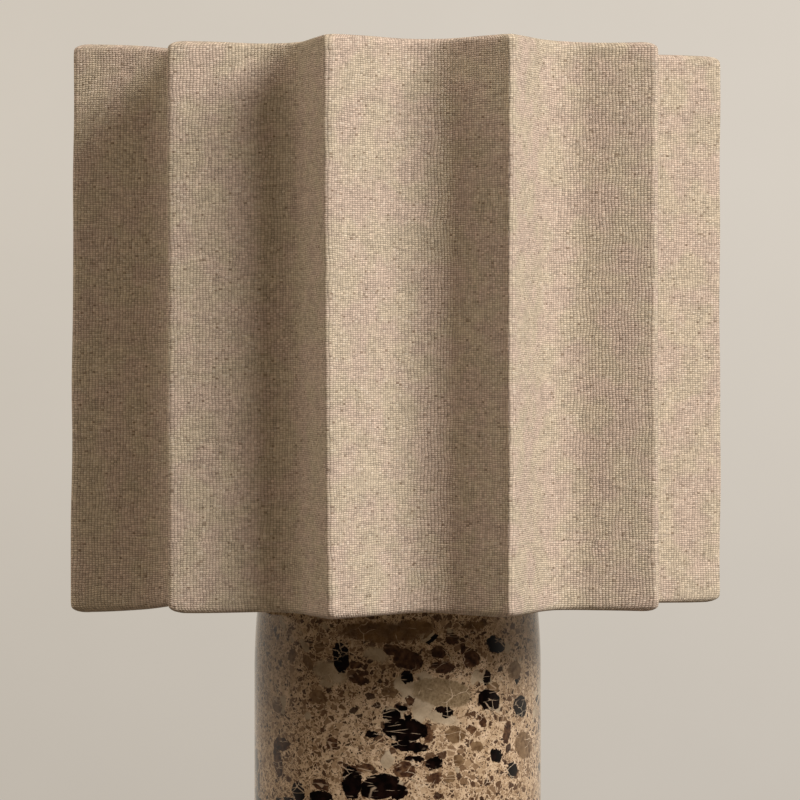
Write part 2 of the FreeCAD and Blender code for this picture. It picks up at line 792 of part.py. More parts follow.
# ---------------------------------------------------------------- shade
def linen_cover():
    """The fluted linen, turned in over both rims round the wire rings."""
    fold_inset = hem_inset - linen_thickness
    fold_corner = wire_corner_radius - wire_radius - wire_gap
    skin = fluted_prism(0.0, shade_bottom, shade_top, ridge_round)
    skin = skin.cut(fluted_prism(linen_thickness, shade_bottom + linen_thickness, shade_top - linen_thickness,
                                 ridge_round - linen_thickness))
    skin = skin.cut(fluted_prism(fold_inset, shade_bottom - 1.0, shade_top + 1.0, fold_corner))
    flaps = []
    for flap_bottom in (shade_bottom, shade_top - hem_height):
        flap_top = flap_bottom + hem_height
        flap = fluted_prism(fold_inset, flap_bottom, flap_top, fold_corner)
        inside = fluted_prism(hem_inset, flap_bottom - 1.0, flap_top + 1.0, fold_corner - linen_thickness)
        flaps.append(flap.cut(inside))
    cover = fused([skin] + flaps)
    for passage in spider_arm_rods(arm_radius + arm_clearance):
        cover = cover.cut(passage)
    return cover


def shade_liner():
    """The stiff sheet that the linen is laid on."""
    bottom = shade_bottom + linen_thickness
    top = shade_top - linen_thickness
    outside = fluted_prism(linen_thickness, bottom, top, ridge_round - linen_thickness)
    return outside.cut(fluted_prism(linen_thickness + liner_thickness, bottom - 1.0, top + 1.0))


def shade_wire(height):
    """A wire ring bent to the flutes."""
    route = Part.Wire(flute_edges(wire_inset, wire_corner_radius, height))
    return rod_along(route, wire_radius)


lower_wire_height = shade_bottom + linen_thickness + wire_radius
upper_wire_height = shade_top - linen_thickness - wire_radius
arm_height = shade_seat - arm_radius


def spider_arm_rods(radius):
    """The three arms as rods, from under the fitting ring out to the lower wire ring."""
    inner = collar_radius + arm_collar_gap
    outer = valley_reach - wire_inset
    points = [
        V(inner, 0, arm_height),
        V(inner + arm_level_run, 0, arm_height),
        V(outer - arm_foot_run, 0, lower_wire_height),
        V(outer, 0, lower_wire_height),
    ]
    rod = rod_along(rounded_route(points, [arm_bend_radius, arm_bend_radius]), radius)
    return around(rod, arm_count, math.degrees(flute_direction(arm_first_valley)))


def spider_ring():
    """The flat ring that drops over the lamp holder."""
    return disc(spider_ring_radius, shade_seat, shade_seat + spider_ring_thickness, spider_bore_radius)


def spider_arms(lower_wire):
    """The arms, each saddled on the wire ring that it is welded to."""
    return [rod.cut(lower_wire) for rod in spider_arm_rods(arm_radius)]


# ---------------------------------------------------------------- build
os.makedirs("parts", exist_ok=True)

save("marble_column", marble_column())
save("base_pad", base_pad())
save("base_cover", base_cover())
save("cover_inserts", cover_inserts())
save("cover_screws", cover_screws())
save("cord_bush", cord_bush())
save("threaded_tube", threaded_tube())
save("bottom_washer", bottom_washer())
save("earth_tag", earth_tag())
save("bottom_nut", hexagon_nut(nut_bottom, tube_radius + thread_gap))
save("top_gasket", top_gasket())
save("top_plate", top_plate())
save("lock_washer", lock_washer())
save("top_nut", hexagon_nut(top_nut_bottom, tube_radius + thread_gap))
save("terminal_block", terminal_block())
save("terminal_sleeves", terminal_sleeves())
save("terminal_screws", terminal_screws())
save("block_screw", block_screw())
save("live_lead", mains_lead(1))
save("neutral_lead", mains_lead(-1))
save("earth_lead", earth_lead())
save("holder_cap", holder_cap())
save("holder_grub_screw", holder_grub_screw())
save("holder_base_block", holder_base_block())
save("holder_terminals", holder_terminals())
save("holder_skirt", holder_skirt())
save("holder_contact_shell", holder_contact_shell())
save("holder_centre_contact", holder_centre_contact())
save("shade_ring", shade_ring())
save("bulb_tip", bulb_tip())
save("bulb_seal", bulb_seal())
save("bulb_cap", bulb_cap())
save("bulb_body", bulb_body())
save("bulb_globe", bulb_globe())
save("bulb_led_plate", bulb_led_plate())
save("bulb_leds", bulb_leds())
save("bulb_driver", bulb_driver())
save("linen_cover", linen_cover())
save("shade_liner", shade_liner())
lower_wire_ring = shade_wire(lower_wire_height)
save("shade_lower_wire", lower_wire_ring)
save("shade_upper_wire", shade_wire(upper_wire_height))
save("spider_ring", spider_ring())
save("spider_arms", spider_arms(lower_wire_ring))
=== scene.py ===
"""Column table lamp: a polished stone column under a fluted linen drum shade, in its finishes."""
import json
import math

import bmesh
import bpy
from mathutils import Matrix, Vector, noise


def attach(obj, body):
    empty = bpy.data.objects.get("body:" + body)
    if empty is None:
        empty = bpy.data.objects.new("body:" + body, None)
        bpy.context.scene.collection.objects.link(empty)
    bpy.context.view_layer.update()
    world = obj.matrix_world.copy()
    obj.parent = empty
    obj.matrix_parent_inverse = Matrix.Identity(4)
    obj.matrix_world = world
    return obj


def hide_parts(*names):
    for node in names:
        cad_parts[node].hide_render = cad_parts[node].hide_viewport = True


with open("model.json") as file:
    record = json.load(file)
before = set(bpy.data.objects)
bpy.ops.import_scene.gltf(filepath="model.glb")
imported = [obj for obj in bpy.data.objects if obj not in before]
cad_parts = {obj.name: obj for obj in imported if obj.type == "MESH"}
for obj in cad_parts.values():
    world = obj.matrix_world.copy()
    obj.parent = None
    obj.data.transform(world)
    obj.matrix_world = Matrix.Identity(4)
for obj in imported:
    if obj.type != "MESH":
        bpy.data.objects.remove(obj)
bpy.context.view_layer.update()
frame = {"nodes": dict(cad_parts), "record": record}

MM = 0.001
COLUMN_RADIUS = 65.0   # millimetres, as all sizes below are unless they say otherwise


# ---------------------------------------------------------------- how a finish is written
class Signal:
    """A value that runs through a finish's nodes. Sums on it add Math nodes."""

    def __init__(self, node, output=0):
        self.node = node
        self.socket = node.outputs[output]

    def __getitem__(self, output):
        return Signal(self.node, output)

    def __add__(self, other):
        return maths("ADD", self, other)

    def __radd__(self, other):
        return maths("ADD", other, self)

    def __sub__(self, other):
        return maths("SUBTRACT", self, other)

    def __rsub__(self, other):
        return maths("SUBTRACT", other, self)

    def __mul__(self, other):
        return maths("MULTIPLY", self, other)

    def __rmul__(self, other):
        return maths("MULTIPLY", other, self)

    def __truediv__(self, other):
        return maths("DIVIDE", self, other)

    def __rtruediv__(self, other):
        return maths("DIVIDE", other, self)

    def __mod__(self, other):
        return maths("FLOORED_MODULO", self, other)

    def __lt__(self, other):
        return maths("LESS_THAN", self, other)

    def __gt__(self, other):
        return maths("GREATER_THAN", self, other)


def feed(socket, value):
    """Links a signal to a socket, or sets the socket's own value."""
    if isinstance(value, Signal):
        socket.id_data.links.new(value.socket, socket)
    elif socket.type == "RGBA" and len(value) == 3:
        socket.default_value = (*value, 1.0)
    else:
        socket.default_value = value


def maths(operation, *terms):
    """A Math node on numbers and signals."""
    tree = next(term.node.id_data for term in terms if isinstance(term, Signal))
    node = tree.nodes.new("ShaderNodeMath")
    node.operation = operation
    for socket, term in zip(node.inputs, terms):
        feed(socket, term)
    return Signal(node)


def whole(signal):
    return maths("FLOOR", signal)


def clamped(signal):
    return maths("MINIMUM", maths("MAXIMUM", signal, 0.0), 1.0)


def rising(signal, low, high):
    """0 below `low`, 1 above `high`, smooth between."""
    share = clamped((signal - low) / (high - low))
    return share * share * (3.0 - 2.0 * share)


def crown(share):
    """A rounded hump over a share from 0 to 1."""
    off_centre = 2.0 * share - 1.0
    return 1.0 - off_centre * off_centre


class Pattern:
    """The nodes of a finish, or of the room."""

    def __init__(self, tree):
        self.tree = tree

    def node(self, kind, settings=None, **sockets):
        """Any node but a Math or Mix one: its settings first, then its sockets, spaces written as _."""
        node = self.tree.nodes.new("ShaderNode" + kind)
        for name, value in (settings or {}).items():
            if name == "stops":
                while len(node.color_ramp.elements) < len(value):
                    node.color_ramp.elements.new(1.0)
                for stop, (position, colour) in zip(node.color_ramp.elements, value):
                    stop.position = position
                    stop.color = (*colour, 1.0)
            else:
                setattr(node, name, value)
        for name, value in sockets.items():
            feed(node.inputs[name.replace("_", " ")], value)
        return Signal(node)

    def mixed(self, share, first, second, way="MIX"):
        """Two colours, mixed."""
        node = self.tree.nodes.new("ShaderNodeMix")
        node.data_type = "RGBA"
        node.blend_type = way
        for socket, value in ((0, share), (6, first), (7, second)):
            feed(node.inputs[socket], value)
        return Signal(node, 2)

    def vector(self, operation, *terms):
        """A Vector Math node."""
        node = self.tree.nodes.new("ShaderNodeVectorMath")
        node.operation = operation
        for socket, term in zip(node.inputs, terms):
            feed(socket, term)
        return Signal(node)

    def shaded(self, colour, tone):
        """A colour made darker or lighter by a number."""
        return self.mixed(1.0, colour, self.node("CombineXYZ", X=tone, Y=tone, Z=tone), "MULTIPLY")


class Finish(Pattern):
    """A procedural material. Its pattern's place is in millimetres, from the lamp's own axis."""

    def __init__(self, name):
        self.material = bpy.data.materials.new(name)
        self.material.use_nodes = True
        super().__init__(self.material.node_tree)
        self.shader = self.tree.nodes["Principled BSDF"]
        self.place = self.node("Mapping", Vector=self.node("TexCoord")["Object"],
                               Scale=(1000.0, 1000.0, 1000.0))

    def grain(self, size, detail=2.0, stretch=(1.0, 1.0, 1.0), place=None, roughness=0.5):
        """Soft noise with lumps `size` millimetres across, from 0 to 1."""
        scaled = self.node("Mapping", Vector=place or self.place, Scale=[s / size for s in stretch])
        return self.node("TexNoise", Vector=scaled, Scale=1.0, Detail=detail, Roughness=roughness)

    def ramp(self, signal, *stops):
        return self.node("ValToRGB", {"stops": stops}, Fac=signal)

    def surface(self, **sockets):
        for name, value in sockets.items():
            feed(self.shader.inputs[name.replace("_", " ")], value)
        return self

    def relief(self, height, depth_mm, strength=1.0):
        """Bump of a height from 0 to 1."""
        bump = self.node("Bump", Height=height, Distance=depth_mm * MM, Strength=strength)
        return self.surface(Normal=bump)


# ---------------------------------------------------------------- finishes
WARP_PITCH = 1.42      # from one upright yarn to the next
WEFT_PITCH = 0.87      # from one level yarn to the next


def linen_finish():
    """Coarse undyed plain weave: upright and level yarns of uneven thickness and tone, with specks, and
    painted shade between the yarns.
    """
    f = Finish("linen")
    cloth = f.node("Mapping", Vector=f.node("UVMap", {"uv_map": "cloth"}), Scale=(1000.0, 1000.0, 1.0))
    parts = f.node("SeparateXYZ", Vector=cloth)
    across, up = parts["X"], parts["Y"]

    # yarns that wander a little from their straight lines
    wander = f.node("TexNoise", {"noise_dimensions": "2D"}, Vector=cloth, Scale=1 / 14.0, Detail=3.0)
    sway = f.node("SeparateXYZ", Vector=wander["Color"])
    warp = (across + 2.2 * (sway["X"] - 0.5)) / WARP_PITCH
    weft = (up + 1.8 * (sway["Y"] - 0.5)) / WEFT_PITCH
    warp_number, weft_number = whole(warp), whole(weft)
    warp_share, weft_share = warp - warp_number, weft - weft_number

    def yarn(number, along, length, seed):
        """The tone of a yarn, from 0 to 1, which drifts along it."""
        spot = f.node("CombineXYZ", X=number * 7.31 + seed, Y=along / length)
        return f.node("TexNoise", {"noise_dimensions": "2D"}, Vector=spot, Scale=1.0, Detail=2.5,
                      Roughness=0.6)

    warp_tone = yarn(warp_number, up, 9.0, 3.7)
    weft_tone = yarn(weft_number, across, 11.0, 91.2)
    warp_crown = crown(clamped((warp_share - 0.5) * (1.15 - 0.35 * warp_tone) + 0.5))
    weft_crown = crown(clamped((weft_share - 0.5) * (1.15 - 0.35 * weft_tone) + 0.5))
    warp_over = (warp_number + weft_number) % 2.0 > 0.5
    warp_height = warp_crown * (0.45 + 0.55 * weft_crown)
    weft_height = weft_crown * (0.40 + 0.60 * warp_crown)
    height = warp_over * warp_height + (1.0 - warp_over) * weft_height
    tone = warp_over * warp_tone + (1.0 - warp_over) * weft_tone

    crossing = f.node("CombineXYZ", X=warp_number, Y=weft_number)
    chance = f.node("TexWhiteNoise", {"noise_dimensions": "2D"}, Vector=crossing)
    fleck = f.node("SeparateXYZ", Vector=chance["Color"])
    fibres = f.grain(0.35, detail=3.0, place=cloth)

    # painted shade and highlight: the weave's low parts between yarns are darkened and the yarn crowns
    # lightened, besides each yarn's own tone, flecks and fibres
    tone_and_weave_shade = 0.55 + 0.52 * rising(height, 0.02, 0.85) + 0.60 * (tone - 0.5)
    tone_and_weave_shade = tone_and_weave_shade + 0.28 * (fleck["X"] - 0.5) + 0.20 * (fibres - 0.5)
    cast = f.grain(17.0, detail=2.0, place=cloth)
    ground = f.mixed(rising(cast, 0.38, 0.62), (0.505, 0.414, 0.307), (0.511, 0.397, 0.315))
    colour = f.shaded(ground, tone_and_weave_shade)
    speck = rising(fleck["Y"], 0.965, 0.995) * (0.15 + 0.6 * fleck["Z"])
    spot = f.node("Mapping", Vector=cloth, Scale=(0.16, 0.24, 1.0))
    seeds = f.node("TexVoronoi", {"voronoi_dimensions": "2D"}, Vector=spot, Scale=1.0)
    seed = 1.0 - rising(seeds["Distance"], 0.05, 0.15)
    seed = seed * rising(f.node("SeparateXYZ", Vector=seeds["Color"])["X"], 0.45, 1.0)
    colour = f.mixed(maths("MAXIMUM", speck, 0.8 * seed), colour, (0.165, 0.108, 0.068))
    pale = rising(fleck["Z"], 0.93, 0.98) * 0.35
    colour = f.mixed(pale, colour, (0.72, 0.62, 0.50))
    relief = height * (0.65 + 0.7 * tone) + 0.12 * fibres
    f.surface(Base_Color=colour, Roughness=0.93, Specular_IOR_Level=0.15, Sheen_Weight=0.06,
              Sheen_Roughness=0.5)
    return f.relief(relief, 0.27, 0.95)


# The stone's largest pieces on its front: how far across and up, half width and height, and tilt in degrees.
BLACK_PIECES = (
    (-24.7, 267.5, 3.7, 6.1, -8), (4.3, 259.1, 2.7, 2.4, 40), (43.6, 272.1, 5.4, 3.3, 10),
    (39.4, 257.8, 2.1, 3.1, 0), (40.7, 248.0, 5.7, 4.2, 8), (54.8, 243.9, 5.0, 4.4, 20),
    (-2.8, 242.9, 3.3, 2.4, 0), (3.2, 236.2, 8.8, 4.6, 3), (5.2, 229.0, 7.1, 2.0, 4),
    (7.6, 223.7, 4.0, 1.2, 0), (-11.2, 233.9, 2.6, 1.5, 0), (18.6, 244.7, 1.7, 1.1, -20),
    (21.9, 243.3, 2.2, 2.4, 35), (16.0, 221.7, 3.5, 2.5, 0), (43.6, 223.3, 3.4, 2.8, 25),
    (50.6, 216.1, 3.2, 3.3, -12), (-7.7, 211.4, 8.0, 5.2, -12), (-20.3, 212.9, 4.0, 6.4, 0),
    (-44.0, 207.2, 3.4, 4.2, -12), (-33.9, 205.8, 5.4, 2.4, 0), (0.5, 208.8, 3.3, 3.3, 30),
    (1.6, 246.2, 2.4, 1.3, 10),
)
BROWN_PIECES = (
    (4.5, 266.8, 6.1, 4.0, 20), (-2.8, 271.4, 3.3, 2.0, 10), (18.0, 269.6, 3.0, 2.5, 0),
    (19.7, 263.3, 5.4, 2.4, 8), (32.4, 266.7, 3.8, 3.8, 10), (-18.1, 264.2, 2.5, 1.6, 0),
    (-51.6, 227.1, 5.5, 2.8, 0), (-53.1, 218.9, 2.9, 5.6, -14), (-28.6, 229.5, 2.7, 2.7, 20),
    (16.4, 215.0, 3.1, 2.3, 0), (3.2, 218.7, 4.4, 3.3, 0), (-13.2, 220.2, 3.0, 1.4, 0),
    (-18.7, 218.4, 3.2, 2.0, 0), (48.7, 233.0, 2.2, 4.6, 14), (37.4, 239.4, 2.0, 2.6, 0),
    (-17.3, 258.1, 3.4, 2.0, 10), (-33.6, 211.1, 4.0, 2.2, 10), (23.5, 276.1, 2.6, 2.4, 0),
    (28.5, 271.8, 1.2, 3.3, 0), (13.1, 234.9, 1.7, 3.8, 0),
)
CARAMEL_PIECES = (
    (25.2, 233.5, 4.5, 3.5, 0), (56.2, 226.4, 7.3, 5.8, 12), (23.5, 214.7, 2.1, 2.5, 0),
    (26.8, 222.5, 2.4, 2.2, 10), (-39.7, 264.6, 2.1, 3.3, -35), (-34.7, 271.5, 2.6, 2.2, 0),
    (-46.5, 267.5, 2.4, 2.8, 0), (-53.4, 244.6, 3.9, 3.3, 10), (-3.3, 252.6, 3.3, 2.2, 0),
    (-35.2, 249.5, 4.6, 2.7, 20), (52.1, 260.3, 4.6, 3.9, 10), (35.1, 228.0, 3.3, 2.2, 0),
)
PALE_PATCHES = (
    (-29.7, 260.7, 10.5, 4.9, 14), (-9.3, 268.9, 6.1, 3.5, 10), (6.0, 250.4, 3.8, 6.0, -38),
    (19.1, 241.1, 9.7, 3.1, 14), (48.7, 270.6, 2.5, 3.3, 0), (13.1, 276.5, 3.4, 3.3, 30),
)
OLIVE_PATCHES = (
    (19.7, 252.1, 15.0, 6.6, 9),
)
AMBER_PATCHES = (
    (-7.7, 278.5, 18.2, 4.6, 3), (7.6, 280.9, 8.8, 3.3, 0), (35.1, 281.4, 7.8, 1.6, 0),
)

# Through all the stone: a size, its squash, shift and turn, the share of its cells that are filled, and how
# wide the ground stands between them, or for the large ones the share of them that are black.
MOSAIC = (
    (0.95, 1.0, (3.0, 7.0, 1.0), (0.2, 0.4, 0.1), 0.72, 0.09),
    (1.9, 1.1, (9.0, 2.0, 5.0), (0.5, 0.1, 0.3), 0.58, 0.09),
    (3.4, 1.2, (4.0, 11.0, 8.0), (0.1, 0.6, 0.2), 0.38, 0.08),
)
LARGE_PIECES = (
    (5.2, 1.15, (1.0, 3.0, 13.0), (0.3, 0.2, 0.5), 0.22, 0.62),
    (9.0, 0.9, (6.0, 5.0, 2.0), (0.1, 0.5, 0.4), 0.20, 0.40),
    (16.0, 1.1, (2.0, 9.0, 4.0), (0.4, 0.3, 0.2), 0.19, 0.25),
)
GRAIN_STOPS = (
    (0.0, (0.016, 0.006, 0.004)), (0.22, (0.050, 0.023, 0.013)), (0.45, (0.115, 0.066, 0.036)),
    (0.75, (0.200, 0.130, 0.080)), (1.0, (0.330, 0.235, 0.150)),
)
VEIN = (0.430, 0.335, 0.250)


def stone_finish():
    """Polished brecciated marble: broken pieces of many sizes in a cream ground, pale patches and veins."""
    f = Finish("stone")

    def bent(size, detail, reach, start):
        """The stone's place, pushed about by soft noise, so that no edge is quite straight."""
        push = f.vector("SUBTRACT", f.grain(size, detail=detail, roughness=0.6)["Color"], (0.5, 0.5, 0.5))
        return f.vector("MULTIPLY_ADD", push, (reach, reach, reach), start)

    rough = bent(9.0, 4.0, 5.0, f.place)
    gentle = bent(15.0, 2.0, 2.6, f.place)
    chips = f.node("TexVoronoi", Vector=f.node("Mapping", Vector=gentle, Scale=(0.55, 0.55, 0.55)), Scale=1.0)
    push = f.vector("SUBTRACT", chips["Color"], (0.5, 0.5, 0.5))
    chipped = f.vector("MULTIPLY_ADD", push, (0.8, 0.8, 0.8), gentle)
    parts = f.node("SeparateXYZ", Vector=f.place)
    # 1 on the upper front, where the large pieces are placed one by one
    front = rising(-1.0 * parts["Y"], 5.0, 25.0) * rising(parts["Z"], 196.0, 206.0)

    def outside(pieces, blocky):
        """1 at the edge of the nearest of some placed pieces, less inside it, more outside."""
        nearest = 9.0
        for across, up, half_width, half_height, tilt in pieces:
            turn = math.asin(across / COLUMN_RADIUS)
            spot = f.node("Mapping", {"vector_type": "TEXTURE"}, Vector=chipped,
                          Location=(across, -COLUMN_RADIUS * math.cos(turn), up),
                          Rotation=(0.0, math.radians(tilt), turn),
                          Scale=(half_width, half_width + half_height, half_height))
            if blocky:
                size = f.node("SeparateXYZ", Vector=f.vector("ABSOLUTE", spot))
                longer = maths("MAXIMUM", size["X"], size["Z"])
                reach = maths("MAXIMUM", longer, 0.70 * (size["X"] + size["Z"]))
                reach = maths("MAXIMUM", reach, size["Y"])
            else:
                reach = f.vector("LENGTH", spot)["Value"]
            nearest = maths("MINIMUM", reach, nearest)
        return nearest

    def clasts(place, size, squash, shift, turn):
        """One size of broken pieces, all through: three random numbers, and how far in from the edge."""
        spot = f.node("Mapping", Vector=place, Location=shift, Rotation=turn,
                      Scale=(1 / size, 1 / size, squash / size))
        cell = f.node("TexVoronoi", {"feature": "F1"}, Vector=spot, Scale=1.0, Randomness=1.0)
        gap = f.node("TexVoronoi", {"feature": "DISTANCE_TO_EDGE"}, Vector=spot, Scale=1.0, Randomness=1.0)
        random = f.node("SeparateXYZ", Vector=cell["Color"])
        return random["X"], random["Y"], random["Z"], gap

    crowded = f.grain(24.0, detail=2.0)
    fine = f.grain(0.9, detail=3.0, roughness=0.65)
    cement = f.ramp(f.grain(4.0, detail=5.0, place=rough, roughness=0.7), (0.30, (0.300, 0.210, 0.130)),
                    (0.50, (0.440, 0.330, 0.230)), (0.70, (0.620, 0.490, 0.370)))
    colour = f.shaded(cement, 0.80 + 0.4 * fine)

    # a mosaic of small translucent grains, fine crumbs first
    for size, squash, shift, turn, share, edge in MOSAIC:
        first, second, third, gap = clasts(rough, size, squash, shift, turn)
        room = edge * (0.5 + 1.5 * third)
        there = rising(gap, room, room + 0.07) * (first < share + 1.1 * (crowded - 0.5))
        grain = f.shaded(f.ramp(second, *GRAIN_STOPS), 0.78 + 0.44 * fine)
        colour = f.mixed(0.92 * there, colour, grain)

    # smooth patches
    cloudy = f.grain(18.0, detail=2.5, place=gentle, roughness=0.6)
    smooth = f.ramp(f.grain(7.0, detail=4.0), (0.35, (0.270, 0.215, 0.152)), (0.65, (0.430, 0.360, 0.275)))
    placed = 1.0 - rising(outside(PALE_PATCHES, False), 0.62, 1.12)
    pale = maths("MAXIMUM", rising(cloudy, 0.615, 0.64), placed)
    colour = f.mixed(0.88 * pale, colour, smooth)
    warm = rising(f.grain(27.0, detail=2.0, place=gentle), 0.64, 0.68) * (1.0 - front)
    warm = maths("MAXIMUM", warm, 1.0 - rising(outside(AMBER_PATCHES, False), 0.8, 1.15))
    amber = f.ramp(f.grain(5.0, detail=4.0), (0.3, (0.050, 0.022, 0.008)), (0.7, (0.150, 0.085, 0.034)))
    colour = f.mixed(0.88 * warm, colour, amber)
    olive = f.ramp(f.grain(1.3, detail=4.0, roughness=0.7), (0.32, (0.090, 0.062, 0.034)),
                   (0.5, (0.185, 0.136, 0.083)), (0.7, (0.270, 0.205, 0.132)))
    colour = f.mixed(0.9 * (1.0 - rising(outside(OLIVE_PATCHES, False), 0.86, 1.03)), colour, olive)

    # larger pieces, brown and near black
    spot = f.node("Mapping", Vector=gentle, Rotation=(0.1, 0.12, 0.2), Scale=(0.055, 0.09, 0.34))
    veins = f.node("TexVoronoi", {"feature": "DISTANCE_TO_EDGE"}, Vector=spot, Scale=1.0)
    vein = (1.0 - rising(veins, 0.016, 0.042)) * rising(f.grain(9.0, detail=2.0, place=gentle), 0.53, 0.60)
    brown = f.ramp(f.grain(2.6, detail=3.0, place=rough), (0.32, (0.016, 0.007, 0.005)),
                   (0.52, (0.062, 0.030, 0.017)), (0.70, (0.130, 0.074, 0.040)))
    caramel = f.ramp(f.grain(2.4, detail=3.0, place=rough), (0.32, (0.085, 0.048, 0.024)),
                     (0.68, (0.205, 0.135, 0.078)))
    black = f.ramp(f.grain(5.0, detail=3.0, place=rough), (0.45, (0.0012, 0.0004, 0.0003)),
                   (0.72, (0.010, 0.004, 0.003)))

    for size, squash, shift, turn, share, dark in LARGE_PIECES:
        first, second, third, gap = clasts(chipped, size, squash, shift, turn)
        room = 0.05 + 0.10 * third
        wanted = (share + 0.5 * (crowded - 0.5)) * (1.0 - 0.95 * front)
        there = rising(gap, room, room + 0.015) * (first < wanted)
        piece = f.mixed(second < dark, black, f.mixed(second < 0.4 * dark, brown, caramel))
        colour = f.mixed(there, colour, f.mixed(0.8 * vein, piece, VEIN))

    for pieces, blocky, tone in ((CARAMEL_PIECES, False, caramel), (BROWN_PIECES, True, brown),
                                 (BLACK_PIECES, True, black)):
        there = 1.0 - rising(outside(pieces, blocky), 1.06, 1.12)
        colour = f.mixed(there, colour, f.mixed(0.7 * vein, tone, VEIN))

    spot = f.node("Mapping", Vector=rough, Rotation=(0.3, 0.5, 0.2), Scale=(0.085, 0.085, 0.14))
    crack = f.node("TexVoronoi", {"feature": "DISTANCE_TO_EDGE"}, Vector=spot, Scale=1.0)
    line = (1.0 - rising(crack, 0.006, 0.018)) * rising(f.grain(13.0, detail=2.0), 0.52, 0.60)
    colour = f.mixed(0.7 * line, colour, (0.560, 0.455, 0.350))
    polish = f.grain(2.5, detail=4.0)
    colour = f.vector("MULTIPLY", colour, (1.06, 1.005, 0.925))
    f.surface(Base_Color=colour, Roughness=0.05 + 0.06 * polish, IOR=1.35)
    return f.relief(f.grain(6.0, detail=3.0), 0.03, 0.25)


def metal_finish(name, colour, roughness, stretch=(1.0, 1.0, 6.0)):
    """Machined metal, with fine turning marks and a little tarnish."""
    f = Finish(name)
    marks = f.grain(0.5, detail=3.0, stretch=stretch)
    tarnish = f.grain(7.0, detail=4.0)
    worn = f.mixed(rising(tarnish, 0.4, 0.75) * 0.35, colour, [0.6 * c for c in colour])
    f.surface(Base_Color=worn, Metallic=1.0, Roughness=roughness + 0.14 * marks + 0.10 * tarnish)
    return f.relief(marks, 0.02, 0.35)


def moulded_finish(name, colour, roughness, coat=0.0):
    """Moulded plastic or ceramic, with a faint cloud in its colour and a fine skin."""
    f = Finish(name)
    cloud = f.grain(9.0, detail=3.0)
    skin = f.grain(0.45, detail=2.0)
    shade = f.shaded(colour, 0.92 + 0.16 * cloud)
    f.surface(Base_Color=shade, Roughness=roughness + 0.08 * skin, Coat_Weight=coat)
    return f.relief(skin, 0.02, 0.4)


def felt_finish():
    f = Finish("felt")
    fibres = f.grain(0.5, detail=5.0, stretch=(1.0, 1.0, 2.5), roughness=0.7)
    lumps = f.grain(3.0, detail=3.0)
    colour = f.ramp(0.6 * fibres + 0.4 * lumps, (0.3, (0.045, 0.040, 0.035)), (0.7, (0.150, 0.135, 0.118)))
    f.surface(Base_Color=colour, Roughness=0.96, Sheen_Weight=0.2)
    return f.relief(fibres, 0.4, 0.8)


def cork_finish():
    f = Finish("cork")
    spot = f.node("Mapping", Vector=f.place, Scale=(0.6, 0.6, 0.6))
    grain = f.node("TexVoronoi", Vector=spot, Scale=1.0)
    tone = f.node("SeparateXYZ", Vector=grain["Color"])["X"]
    colour = f.ramp(tone, (0.0, (0.23, 0.12, 0.05)), (0.5, (0.46, 0.30, 0.16)), (1.0, (0.60, 0.42, 0.25)))
    f.surface(Base_Color=colour, Roughness=0.9)
    return f.relief(grain["Distance"], 0.3, 0.6)


def striped_finish():
    """Green insulation with yellow stripes along it."""
    f = Finish("earth_insulation")
    parts = f.node("SeparateXYZ", Vector=f.place)
    stripe = rising(maths("SINE", (parts["X"] + parts["Y"] + 0.6 * parts["Z"]) * 2.4), -0.1, 0.1)
    colour = f.mixed(stripe, (0.045, 0.270, 0.050), (0.640, 0.560, 0.030))
    return f.surface(Base_Color=f.shaded(colour, 0.9 + 0.2 * f.grain(2.0)), Roughness=0.45)


def board_finish():
    """Green circuit board with paler tracks."""
    f = Finish("circuit_board")
    cells = f.node("TexVoronoi", {"distance": "CHEBYCHEV", "feature": "F1"}, Scale=1.0,
                   Vector=f.node("Mapping", Vector=f.place, Scale=(0.3, 0.3, 0.3)))
    track = rising(maths("PINGPONG", cells["Distance"], 0.25), 0.10, 0.12)
    colour = f.mixed(track, (0.010, 0.110, 0.040), (0.030, 0.220, 0.085))
    return f.surface(Base_Color=colour, Roughness=0.35).relief(track, 0.05, 0.5)


FINISHES = {
    "stone": stone_finish(),
    "linen": linen_finish(),
    "felt": felt_finish(),
    "cork": cork_finish(),
    "earth_insulation": striped_finish(),
    "circuit_board": board_finish(),
    "steel": metal_finish("steel", (0.55, 0.55, 0.53), 0.26),
    "brass": metal_finish("brass", (0.72, 0.52, 0.22), 0.24),
    "bulb_metal": metal_finish("bulb_metal", (0.74, 0.73, 0.70), 0.20),
    "bush_nylon": moulded_finish("bush_nylon", (0.030, 0.029, 0.028), 0.42),
    "block_plastic": moulded_finish("block_plastic", (0.78, 0.76, 0.69), 0.45),
    "live_insulation": moulded_finish("live_insulation", (0.130, 0.050, 0.020), 0.45),
    "neutral_insulation": moulded_finish("neutral_insulation", (0.030, 0.110, 0.420), 0.45),
    "holder_plastic": moulded_finish("holder_plastic", (0.024, 0.023, 0.022), 0.34),
    "holder_ceramic": moulded_finish("holder_ceramic", (0.80, 0.78, 0.71), 0.62),
    "bulb_black_glass": moulded_finish("bulb_black_glass", (0.012, 0.011, 0.012), 0.12, coat=0.3),
    "bulb_white": moulded_finish("bulb_white", (0.80, 0.79, 0.76), 0.38),
    "opal": moulded_finish("opal", (0.84, 0.83, 0.79), 0.30, coat=0.2),
    "led_plate": moulded_finish("led_plate", (0.82, 0.83, 0.83), 0.30),
    "led_yellow": moulded_finish("led_yellow", (0.84, 0.66, 0.16), 0.40),
    "liner": moulded_finish("liner", (0.70, 0.675, 0.605), 0.55),
    "white_wire": moulded_finish("white_wire", (0.79, 0.775, 0.73), 0.42),
}

NODE_SLOT = {part["node"]: part["material_slot"] for part in frame["record"]["subparts"]}
for node_name, node in frame["nodes"].items():
    for held in node.material_slots:
        held.material = FINISHES[NODE_SLOT[node_name]].material


# ---------------------------------------------------------------- how a piece is made
SHARP_DEG = 35.0


